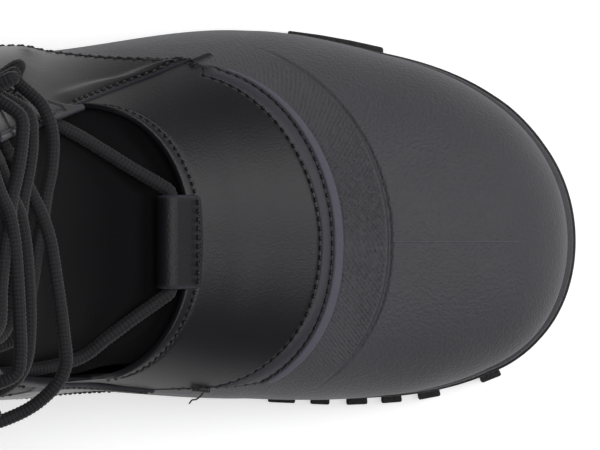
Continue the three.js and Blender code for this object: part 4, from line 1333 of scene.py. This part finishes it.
def build_backstay(sizes):
    """A strip up the heel's seam, narrower towards the collar."""
    h = np.linspace(0.004, 0.985, 90)
    half = mix(BACKSTAY["bottom"], BACKSTAY["top"], h)
    reach = 0.9
    around = (np.full(len(h), np.pi - reach), np.full(len(h), np.pi + reach))

    def wanted(lengths):
        return (lengths / 2 - half)[:, None] + strip_steps(2 * half)

    a, distance, lengths = arc_columns(*around, h, wanted)
    across = distance - (lengths / 2 - half)[:, None]
    v = rise(a, np.broadcast_to(h[:, None], a.shape))
    stitches = strip_piece("backstay", a, v, across, 2 * half, BACKSTAY["heights"], (2.1,), sizes)
    sew("backstay_stitches", stitches)


LINING_INSET = 7.0  # how far behind the throat's edge the felt starts


def lining_starts(h, sign):
    """Where each row of the lining starts: past the last angle at which it is in the throat.

    The rows beside it count as well, so that no face between two rows reaches into the throat.
    """
    angles = np.linspace(0, np.pi * 0.6, 241)
    rows, columns = np.meshgrid(h, angles, indexing="ij")
    inside = ~throat_side(columns, rows, sign, LINING_INSET)
    last = len(angles) - 1 - np.argmax(inside[:, ::-1], axis=1)
    starts = np.where(inside.any(axis=1), angles[np.minimum(last + 1, len(angles) - 1)], 0)
    wide = np.pad(starts, 1, mode="edge")
    return sign * np.max([wide[:-2], wide[1:-1], wide[2:]], axis=0)


def build_lining(sizes):
    """Felt under each side's leather, from the throat's edge to the heel and from sole leather to collar."""
    h = 0.995 * np.linspace(0, 1, 110) ** 1.8
    share = np.linspace(0, 1, 80)
    for sign, name in SIDES:
        front = lining_starts(h, sign)
        a = mix(front[:, None], sign * np.pi, share)
        v = rise(a, np.broadcast_to(h[:, None], a.shape))
        outer = offset_point(a, v, 0.2)
        inner = offset_point(a, v, -LINING)
        points, faces = patch_solid(outer, inner)
        make_piece(f"lining_{name}", points, faces, BootFinishes.get("felt"))


COLLAR = {"across": 3.1, "tall": 5.0, "centre": 0.4, "drop": 3.2}


def build_collar(sizes):
    """A padded roll along the top edge: an upright ellipse carried along the collar from throat to throat."""
    ends = [throat_angles(np.ones(1), sign)[0] for sign in (1.0, -1.0)]
    along = np.linspace(0, 1, 260)
    a = mix(ends[0], TURN + ends[1], along)
    base, normal = last_point(a, np.ones(len(a))), last_normal(a, np.ones(len(a)))
    turn = np.arange(28) * TURN / 28
    full = np.sqrt(np.maximum(0.0001, 1 - (2 * np.abs(along - 0.5)) ** 60))[:, None]
    soft = 1 + 0.03 * np.sin(a * 9)[:, None]
    out = COLLAR["centre"] + COLLAR["across"] * full * soft * np.cos(turn)
    up = -COLLAR["drop"] + COLLAR["tall"] * full * np.sin(turn)
    grid = base[:, None, :] + normal[:, None, :] * out[..., None]
    grid[..., 2] += up
    points, faces = capped(grid, grid[[0, -1]].mean(axis=1))
    layers = {"wear_and_highlight": np.zeros(len(points))}
    piece = make_piece("collar_roll", points, faces, BootFinishes.get("eyestay"), layers=layers)


# Share of the way out from the centre line, how far drawn in, and height over the sole.
FOOTBED_ROWS = (
    (0, 0, 0.3),
    (1, 0.6, 0.3),
    (1, 0, 1.0),
    (1, 0, 3.6),
    (1, 0.6, 4.6),
    (1, 2.0, 5.0),
    (0, 0, 4.8),
)


def build_footbed(sizes):
    """A felt slab inside the shell with a rounded upper edge."""
    columns = 200
    a = np.arange(columns) * TURN / columns
    outline = last_point(a, np.zeros(columns))
    normal = unit(last_normal(a, np.zeros(columns)) * (1, 1, 0))
    inset = -(SHELL_WALL + 1.2)

    def above(lift):
        return lambda x: sole_top(x) + lift

    rows = [(share, inset - drawn, above(lift)) for share, drawn, lift in FOOTBED_ROWS]
    rings = sole_slab(outline, normal, rows)
    faces = grid_faces(len(rings), columns, wrap_columns=True)
    make_piece("footbed", rings, [faces], BootFinishes.get("felt"), ["insole"])


def build_bartacks(sizes):
    """A dense bar of short threads across each end of the vamp seam, and one loose thread end."""
    parts = []
    for side, (sign, _) in enumerate(SIDES):
        (x1, y1), (x2, y2) = SEAM[side]
        share = np.linspace(0.01, 0.15, 12)
        inset = (1.0, 2.4)[side]
        x, y = mix(x1, x2, share), sign * mix(abs(y1) - inset, abs(y2) - inset, share)
        a, v = place_plan(x, y)
        parts.append(surface_stitches(a, v, 3.1, 0.72, 2.6, 0.3, lean=3.0))
    a, v = place_plan(np.array([189.5]), np.array([-44.8]))
    start = offset_point(a, v, 2.6)[0]
    bends = np.array([(0, 0, 0), (-0.8, -1.0, 0.9), (-2.2, -2.0, 1.0), (-3.4, -2.2, 1.6), (-4.4, -3.4, 1.2)])
    path, _ = even_path(start + bends, 0.3)
    parts.append(tube(path, 0.26, 8))
    sew("bartacks", parts)


# ---------------------------------------------------------------- throat, tongue and laces
TONGUE = {
    "thickness": 4.0,
    "depth": 7.4,
    "edge_depth": 3.0,
    "overlap": 9.0,
    "above": 10.0,
    "eases": (104, 116),
}
LOOP_X = THROAT["x"] + THROAT["reach"] - LACE_LOOP["set_back"]


def vamp_z(x, y):
    """Height of the last's upper side over a plan point."""
    return last_point(*place_plan(x, y))[..., 2]


LOOP_Z = float(vamp_z(np.array([LOOP_X]), np.zeros(1))[0]) + LEATHER - LACE_LOOP["sink"]


def tab_profile(y, radius, lift):
    """The tab's section at each y: from the vamp's surface ahead, over the cord and round beneath it.

    Rows go along the section; radius is the arc's, lift the height over the vamp at the front end.
    """
    turn = np.radians(np.linspace(62, 285, 30))
    arc = np.stack([LOOP_X + radius * np.cos(turn), LOOP_Z + radius * np.sin(turn)], axis=-1)
    front_x = np.array([192.0, 190.4, 188.8, 187.0])
    x = np.broadcast_to(front_x[:, None], (len(front_x), len(y)))
    z = vamp_z(x, np.broadcast_to(y, x.shape)) + lift[:, None]
    front = np.stack([x, np.broadcast_to(y, x.shape), z], axis=-1)
    bend = np.broadcast_to(arc[:, None, :], (len(turn), len(y), 2))
    drop = (vamp_z(np.full(len(y), LOOP_X), y) - vamp_z(np.array([LOOP_X]), np.zeros(1))) * 0.35
    bend = np.stack([bend[..., 0], np.broadcast_to(y, bend.shape[:2]), bend[..., 1] + drop], axis=-1)
    return np.concatenate([front, bend])


def build_lace_tab(sizes):
    """The folded tab that the lace passes through, and the stitch row ahead of it."""
    half = LACE_LOOP["half_width"]
    ends = np.array([0.92, 0.96, 0.985, 1])
    y = half * np.concatenate([-ends[::-1], np.linspace(-0.85, 0.85, 29), ends])
    outer = tab_profile(y, LACE_LOOP["outer"], np.array([1.9, 2.2, 2.45, 2.75]))
    inner = tab_profile(y, LACE_LOOP["inner"], np.array([1.3, 1.4, 1.5, 1.6]))
    thin = (1 - rounded(half - np.abs(y), 0.8))[None, :, None]
    outer = mix(outer, inner, thin * 0.7)
    points, faces = patch_solid(outer, inner)
    # Both side edges are marked to be painted lighter: a painted highlight on the edges, with worn grain.
    wear_and_highlight = np.concatenate([(0.25 * hump(half - np.abs(y), 0.4, 0.6) * np.ones((len(outer), 1))).ravel()] * 2)
    make_piece("lace_tab", points, faces, BootFinishes.get("eyestay"), layers={"wear_and_highlight": wear_and_highlight})
    y = np.linspace(-half + 1.2, half - 1.2, 20)
    a, v = place_plan(np.full(20, 187.3), y)
    sew("lace_tab_stitches", [surface_stitches(a, v, 2.75, 2.6, 1.8, sizes.thread)])


def build_tongue(sizes):
    """A padded cloth sheet inside the throat: under the last by a depth that eases up at its hidden edges."""
    front = THROAT["x"] + THROAT["reach"] + 22
    start = halve(np.zeros(1), np.ones(1), lambda v: last_point(np.zeros(1), v)[:, 0] < front)
    v = np.linspace(start[0], 1, 110)[:, None]
    share = np.sin(np.linspace(-1, 1, 91) * np.pi / 2)[None, :]
    z = last_point(np.zeros(1), v[:, 0])[:, 2][:, None]
    wide = np.where(share > 0, throat_edge(1, z), throat_edge(-1, z)) + TONGUE["overlap"]
    y = share * wide
    sign = np.where(y < 0, -1.0, 1.0)
    v = np.broadcast_to(v, y.shape)
    a = halve(
        np.zeros(y.shape),
        np.full(y.shape, 0.47 * np.pi),
        lambda turn: np.abs(last_point(sign * turn, v)[..., 1]) >= np.abs(y),
    )
    a = sign * a
    base = last_point(a, v)
    edge = throat_edge(sign, base[..., 2]) * throat_arch(base[..., 0], 4)
    lift = (TONGUE["depth"] - TONGUE["edge_depth"]) * smooth(np.abs(y) - edge, -1.5, 2)
    lift = lift * (1 - smooth(base[..., 2], *TONGUE["eases"]))
    border = np.minimum((1 - np.abs(share)) * wide, (v[-1:, :] - v) * 150)
    puff = 0.5 * rounded(border, 9) * (1 - 0.25 * np.cos(y / 9) ** 2)
    thinner = 1.6 * (1 - rounded(border, 2.2))
    outer = offset_point(a, v, lift - TONGUE["depth"] + puff - thinner)
    inner = offset_point(a, v, lift - TONGUE["depth"] - TONGUE["thickness"] + thinner)
    top = (smooth(v, 0.9, 1) * (1 - 0.75 * np.abs(share) ** 5))[..., None] * (0, 0, TONGUE["above"])
    outer, inner = outer + top, inner + top
    points, faces = patch_solid(outer, inner)
    climb = along_columns(outer)
    spread = np.concatenate([np.stack([y, climb], axis=-1).reshape(-1, 2)] * 2)
    finish = BootFinishes.get("tongue")
    piece = make_piece("tongue_pad", points, faces, finish, ["tongue"], uv=spread)


EYELET_HEIGHTS = (144, 167, 190, 213)
EYELET_INSET = {1: 11.5, -1: 7.5}  # from the throat's edge
# Radius and height of an eyelet's section, from the back of its tube over the flange and into the bore.
EYELET_SECTION = np.array(
    [(2.6, -5.2), (3.3, -5.2), (3.4, -0.1), (4.95, 0), (5.0, 0.25), (4.85, 0.55), (4.4, 0.85), (3.7, 0.95)]
    + [(3.1, 0.8), (2.75, 0.45), (2.6, 0)]
)
LOWER_STRAND = np.array(
    [(136, 49, 141), (144, 41, 143), (147, 33, 144.5), (147, 23, 147.2), (145.4, 14, 149.8)]
    + [(144.4, 6, 151.8), (142.8, -3, 153.6), (141.2, -14, 156), (138.5, -27, 159)]
)
UPPER_STRAND = np.array(
    [(138, -51, 141), (148, -43, 143), (151, -37, 144.5), (150.5, -27, 147.5), (148.5, -11, 151)]
    + [(146.6, 1, 153), (144, 9, 154.6), (140.6, 16, 157), (137, 24.5, 160)]
)


LACE_BEHIND = 2.8  # how far behind the lining the middle of a lace runs
TIGHTER = (1.4, 2.0, 1.8)  # how much closer than its rows each level's strand lies
MEDIAL_SLACK = 0.55  # how much of the medial loops' slack is left above the first level


def eyelet_place(side, level):
    """Angle and share of an eyelet, its point on the last and its normal."""
    z = EYELET_HEIGHTS[level]
    y = side * (throat_edge(side, z) + EYELET_INSET[side])
    a, v = place_front(np.array([float(y)]), np.array([float(z)]))
    return last_point(a, v)[0], last_normal(a, v)[0]


def build_eyelets(sizes):
    """Each eyelet is a section turned about the leather's normal."""
    turn = np.arange(32) * TURN / 32
    for side, name in ((1, "lateral"), (-1, "medial")):
        for level in range(len(EYELET_HEIGHTS)):
            point, normal = eyelet_place(side, level)
            right = unit(np.cross(normal, (0.0, 0.0, 1.0)))
            up = np.cross(right, normal)
            ring = np.cos(turn)[:, None] * right + np.sin(turn)[:, None] * up
            seat = point + normal * EYESTAY["heights"][0]
            radius, height = EYELET_SECTION[:, :1, None], EYELET_SECTION[:, 1:, None]
            grid = seat + ring[None] * radius + normal * height
            faces = grid_faces(len(grid), len(turn), wrap_rows=True, wrap_columns=True)
            node = f"eyelet_{name}_{level + 1}"
            finish = BootFinishes.get("metal")
            make_piece(f"ring_{name}_{level + 1}", grid, [faces], finish, [node])


def over_tongue(x, y, lift):
    """A point over a plan place, as high over the tongue as a lace that lies on it, plus a lift."""

    def z(dx, dy):
        return float(vamp_z(np.array([x + dx], float), np.array([y + dy], float))[0])

    steep = np.hypot(np.hypot(1, (z(1, 0) - z(-1, 0)) / 2), (z(0, 1) - z(0, -1)) / 2)
    return (x, y, z(0, 0) - (TONGUE["depth"] - 2.0) * steep + lift)


def shaft_front(y, z):
    """The last's foremost reach at a height, a distance y from the centre line."""
    widths = [np.interp(z, PROFILE[:, FRONT_Z], PROFILE[:, column]) for column in (LATERAL, MEDIAL)]
    widest = 0.88 * np.where(y > 0, *widths)
    return last_point(*place_front(np.clip(y, -widest, widest), z))[..., 0]


def inside_points(side, z, past):
    """Points of a lace behind a side's leather at heights z, at distances past the throat's edge."""
    z = np.asarray(z, float)
    a, v = place_front(side * (throat_edge(side, z) + np.asarray(past, float)), z)
    return offset_point(a, v, -LINING - LACE_BEHIND)


def through_eyelet(side, level, outwards):
    """Points through an eyelet, from behind the leather to its outside."""
    point, normal = eyelet_place(side, level)
    distances = np.array([-4.5, 0.5, 4.3])[:outwards]
    return point + normal * distances[:, None]


def strand(side, level):
    """From outside an eyelet over the tongue to the other side's next eyelet, and out through it."""
    rows = LOWER_STRAND if side > 0 else UPPER_STRAND
    lift = EYELET_HEIGHTS[level] - EYELET_HEIGHTS[0]
    x, y, z = rows.T
    narrower = y * throat_edge(y, z + lift) / throat_edge(y, z)
    stand = x - shaft_front(y, z)
    slack = MEDIAL_SLACK if side < 0 and level > 0 else 1.0
    stand = np.where(stand > 0, stand * slack, stand) - TIGHTER[level]
    middle = np.stack([shaft_front(narrower, z + lift) + stand, narrower, z + lift], axis=-1)
    point, normal = eyelet_place(side, level)
    out = point + normal * (LEATHER + 7) + (4, 0, 1)
    last = level == len(EYELET_HEIGHTS) - 2
    behind = inside_points(-side, np.full(2, EYELET_HEIGHTS[level + 1]), (-2, 3))
    return [out[None], middle, behind, through_eyelet(-side, level + 1, 2 if last else 3)]


def lace_route(side):
    """One end of the lace: half the tunnel, over the tongue to a corner, and up from side to side."""
    if side > 0:
        corner = [(150.5, 33.5, 3.3), (160, 27.8, 2.8), (169, 22.2, 4.2)]
        bend = [(LOOP_X - 3.4, 17.5, LOOP_Z + 0.4), (LOOP_X - 0.6, 15.4, LOOP_Z + 0.1)]
    else:
        corner = [(152.5, -35.5, 3.4), (161, -29.3, 2.9), (169, -23.4, 4.2)]
        bend = [(LOOP_X - 3.4, -17.7, LOOP_Z + 0.4), (LOOP_X - 0.6, -15.4, LOOP_Z + 0.1)]
    start = [(LOOP_X, 0, LOOP_Z), (LOOP_X, side * 10.5, LOOP_Z)]
    route = [np.array(start + bend[::-1]), np.array([over_tongue(*place) for place in corner[::-1]])]
    route.append(inside_points(side, (124, 135), (3.5, EYELET_INSET[side] - 3.5)))
    route.append(through_eyelet(side, 0, 3))
    for level in range(len(EYELET_HEIGHTS) - 1):
        route += strand(side, level)
        side = -side
    return np.concatenate(route)


BRAID = {"carriers": 12, "step": 2.6, "relief": 0.2}


def build_laces(sizes):
    """Two braided tubes along the routes. The radius carries the braid: a product of two crossed sines."""
    nodes = {1: ["lace_vamp", "lace_cross_1"], -1: ["lace_cross_2", "lace_cross_3"]}
    for side, name in ((1, "lateral"), (-1, "medial")):
        path, at = even_path(lace_route(side), 0.3)
        sides = 32
        turn = np.arange(sides) * TURN / sides
        around = turn[None, :] * BRAID["carriers"] / 2
        along = at[:, None] * TURN / BRAID["step"]
        pattern = (1 + np.sin(around + along) * np.sin(around - along)) / 2
        radius = sizes.lace * (1 + BRAID["relief"] * (pattern - 0.6))
        points, faces = tube(path, radius, sides)
        # The pattern also goes to the finish, which paints shade into the braid's hollows and highlight on
        # its crests.
        layers = {"proud": np.concatenate([pattern.ravel(), np.zeros(2)])}
        uv = np.stack(np.broadcast_arrays(turn[None, :] / TURN, at[:, None]), axis=-1).reshape(-1, 2)
        uv = np.concatenate([uv, np.zeros((2, 2))])
        finish = BootFinishes.get("lace")
        make_piece(f"lace_{name}", points, faces, finish, nodes[side], layers, uv, weld=FINE_WELD)


# ---------------------------------------------------------------- stage
CAMERA = {"place": (0.0645, -0.0001, 1.8), "width": 0.1935, "at_height": 0.02}
LIGHTS = (
    # name, place, aim, size, power in watts
    ("left_softbox", (-0.1, 1.4, 1.1), (0.05, 0, 0.05), 0.8, 0.5),
    ("right_softbox", (0.1, -1.4, 1.0), (0.05, 0, 0.05), 0.8, 1.5),
    ("front_softbox", (1.35, 0.38, 1.25), (0.05, 0, 0.05), 0.8, 12),
    ("top_softbox", (0.3, 0.08, 2.2), (0.05, 0, 0.05), 0.9, 22),
)


FLOOR = {"reach": 3.0, "drop": 0.0003}


def build_stage():
    """A pale floor under the boot, soft lights round it, and a camera straight above."""
    mesh = bpy.data.meshes.new("floor")
    around = ((-1, -1), (1, -1), (1, 1), (-1, 1))
    corners = [(x * FLOOR["reach"], y * FLOOR["reach"], -FLOOR["drop"]) for x, y in around]
    mesh.from_pydata(corners, [], [(0, 1, 2, 3)])
    floor = bpy.data.objects.new("floor", mesh)
    bpy.context.scene.collection.objects.link(floor)
    matt = {"Base Color": (0.8, 0.8, 0.8, 1), "Roughness": 0.95, "Specular IOR Level": 0.1}
    paper = Finish("paper", **matt, **{"Emission Color": (1, 1, 1, 1), "Emission Strength": 0.54})
    mesh.materials.append(paper.material)
    scene = bpy.context.scene
    world = bpy.data.worlds.new("studio")
    world.use_nodes = True
    background = world.node_tree.nodes["Background"]
    background.inputs["Color"].default_value = (1, 1, 1, 1)
    background.inputs["Strength"].default_value = 0.06
    scene.world = world
    for name, place, aim, size, power in LIGHTS:
        light = bpy.data.lights.new(name, "AREA")
        light.size = size
        light.energy = power
        lamp = bpy.data.objects.new(name, light)
        lamp.location = place
        direction = Vector(aim) - Vector(place)
        lamp.rotation_euler = direction.to_track_quat("-Z", "Y").to_euler()
        scene.collection.objects.link(lamp)
    lens = bpy.data.cameras.new("camera")
    lens.sensor_width = 36
    distance = CAMERA["place"][2] - CAMERA["at_height"]
    lens.lens = lens.sensor_width * distance / CAMERA["width"]
    lens.clip_end = 20
    camera = bpy.data.objects.new("camera", lens)
    camera.location = CAMERA["place"]
    scene.collection.objects.link(camera)
    scene.camera = camera
    scene.view_settings.view_transform = "Standard"


# ---------------------------------------------------------------- add-on
class BootStep:
    """What the operators share: the boot's sizes go to their build function."""

    bl_options = {"REGISTER", "UNDO"}

    def execute(self, context):
        type(self).build(context.scene.boot_sizes)
        return {"FINISHED"}


class BOOT_OT_shell(BootStep, bpy.types.Operator):
    """Builds the rubber shell with its groove, knurled band and mould line"""

    bl_idname = "boot.shell"
    bl_label = "Rubber Shell"
    build = staticmethod(build_shell)


class BOOT_OT_sole(BootStep, bpy.types.Operator):
    """Builds the outsole's body and the band above it"""

    bl_idname = "boot.sole"
    bl_label = "Outsole"
    build = staticmethod(build_sole)


class BOOT_OT_lugs(BootStep, bpy.types.Operator):
    """Builds the tread's lugs"""

    bl_idname = "boot.lugs"
    bl_label = "Tread Lugs"
    build = staticmethod(build_lugs)


class BOOT_OT_footbed(BootStep, bpy.types.Operator):
    """Builds the felt footbed"""

    bl_idname = "boot.footbed"
    bl_label = "Footbed"
    build = staticmethod(build_footbed)


class BOOT_OT_lining(BootStep, bpy.types.Operator):
    """Builds the felt lining of both sides"""

    bl_idname = "boot.lining"
    bl_label = "Lining"
    build = staticmethod(build_lining)


class BOOT_OT_vamp(BootStep, bpy.types.Operator):
    """Builds the vamp with its stitch rows"""

    bl_idname = "boot.vamp"
    bl_label = "Vamp"
    build = staticmethod(build_vamp)


class BOOT_OT_quarters(BootStep, bpy.types.Operator):
    """Builds both quarters with their stitch rows"""

    bl_idname = "boot.quarters"
    bl_label = "Quarters"
    build = staticmethod(build_quarters)


class BOOT_OT_eyestays(BootStep, bpy.types.Operator):
    """Builds the strips that hold the eyelets"""

    bl_idname = "boot.eyestays"
    bl_label = "Eyestays"
    build = staticmethod(build_eyestays)


class BOOT_OT_backstay(BootStep, bpy.types.Operator):
    """Builds the strip up the heel"""

    bl_idname = "boot.backstay"
    bl_label = "Backstay"
    build = staticmethod(build_backstay)


class BOOT_OT_collar(BootStep, bpy.types.Operator):
    """Builds the padded collar"""

    bl_idname = "boot.collar"
    bl_label = "Collar"
    build = staticmethod(build_collar)


class BOOT_OT_bartacks(BootStep, bpy.types.Operator):
    """Builds the bars of thread at the ends of the vamp seams"""

    bl_idname = "boot.bartacks"
    bl_label = "Bartacks"
    build = staticmethod(build_bartacks)


class BOOT_OT_tongue(BootStep, bpy.types.Operator):
    """Builds the padded tongue"""

    bl_idname = "boot.tongue"
    bl_label = "Tongue"
    build = staticmethod(build_tongue)


class BOOT_OT_lace_tab(BootStep, bpy.types.Operator):
    """Builds the folded tab at the throat's front"""

    bl_idname = "boot.lace_tab"
    bl_label = "Lace Tab"
    build = staticmethod(build_lace_tab)


class BOOT_OT_eyelets(BootStep, bpy.types.Operator):
    """Builds the eight eyelets"""

    bl_idname = "boot.eyelets"
    bl_label = "Eyelets"
    build = staticmethod(build_eyelets)


class BOOT_OT_laces(BootStep, bpy.types.Operator):
    """Runs both ends of the lace through the tunnel and the eyelets"""

    bl_idname = "boot.laces"
    bl_label = "Laces"
    build = staticmethod(build_laces)


class BOOT_OT_stage(bpy.types.Operator):
    """Adds the floor, the lights and the camera"""

    bl_idname = "boot.stage"
    bl_label = "Stage"
    bl_options = {"REGISTER", "UNDO"}

    def execute(self, context):
        build_stage()
        return {"FINISHED"}


STEPS = (
    BOOT_OT_shell,
    BOOT_OT_sole,
    BOOT_OT_lugs,
    BOOT_OT_footbed,
    BOOT_OT_lining,
    BOOT_OT_vamp,
    BOOT_OT_quarters,
    BOOT_OT_eyestays,
    BOOT_OT_backstay,
    BOOT_OT_collar,
    BOOT_OT_bartacks,
    BOOT_OT_tongue,
    BOOT_OT_lace_tab,
    BOOT_OT_eyelets,
    BOOT_OT_laces,
    BOOT_OT_stage,
)


class BOOT_PT_panel(bpy.types.Panel):
    """Lists the boot's settings and steps"""

    bl_idname = "BOOT_PT_panel"
    bl_label = "Snow Boot"
    bl_space_type = "VIEW_3D"
    bl_region_type = "UI"
    bl_category = "Boot"

    def draw(self, context):
        scene = context.scene
        for group in (scene.boot_sizes, scene.boot_colours):
            box = self.layout.box()
            for key in group.__annotations__:
                box.prop(group, key)
        for step in STEPS:
            self.layout.operator(step.bl_idname)


CLASSES = (BootSizes, BootColours) + STEPS + (BOOT_PT_panel,)


def register():
    for one in CLASSES:
        bpy.utils.register_class(one)
    bpy.types.Scene.boot_sizes = PointerProperty(type=BootSizes)
    bpy.types.Scene.boot_colours = PointerProperty(type=BootColours)


def unregister():
    del bpy.types.Scene.boot_colours
    del bpy.types.Scene.boot_sizes
    for one in reversed(CLASSES):
        bpy.utils.unregister_class(one)


def main():
    register()
    for step in STEPS:
        getattr(bpy.ops.boot, step.bl_idname.split(".")[1])()
    bpy.context.view_layer.update()


if __name__ == "__main__":
    main()
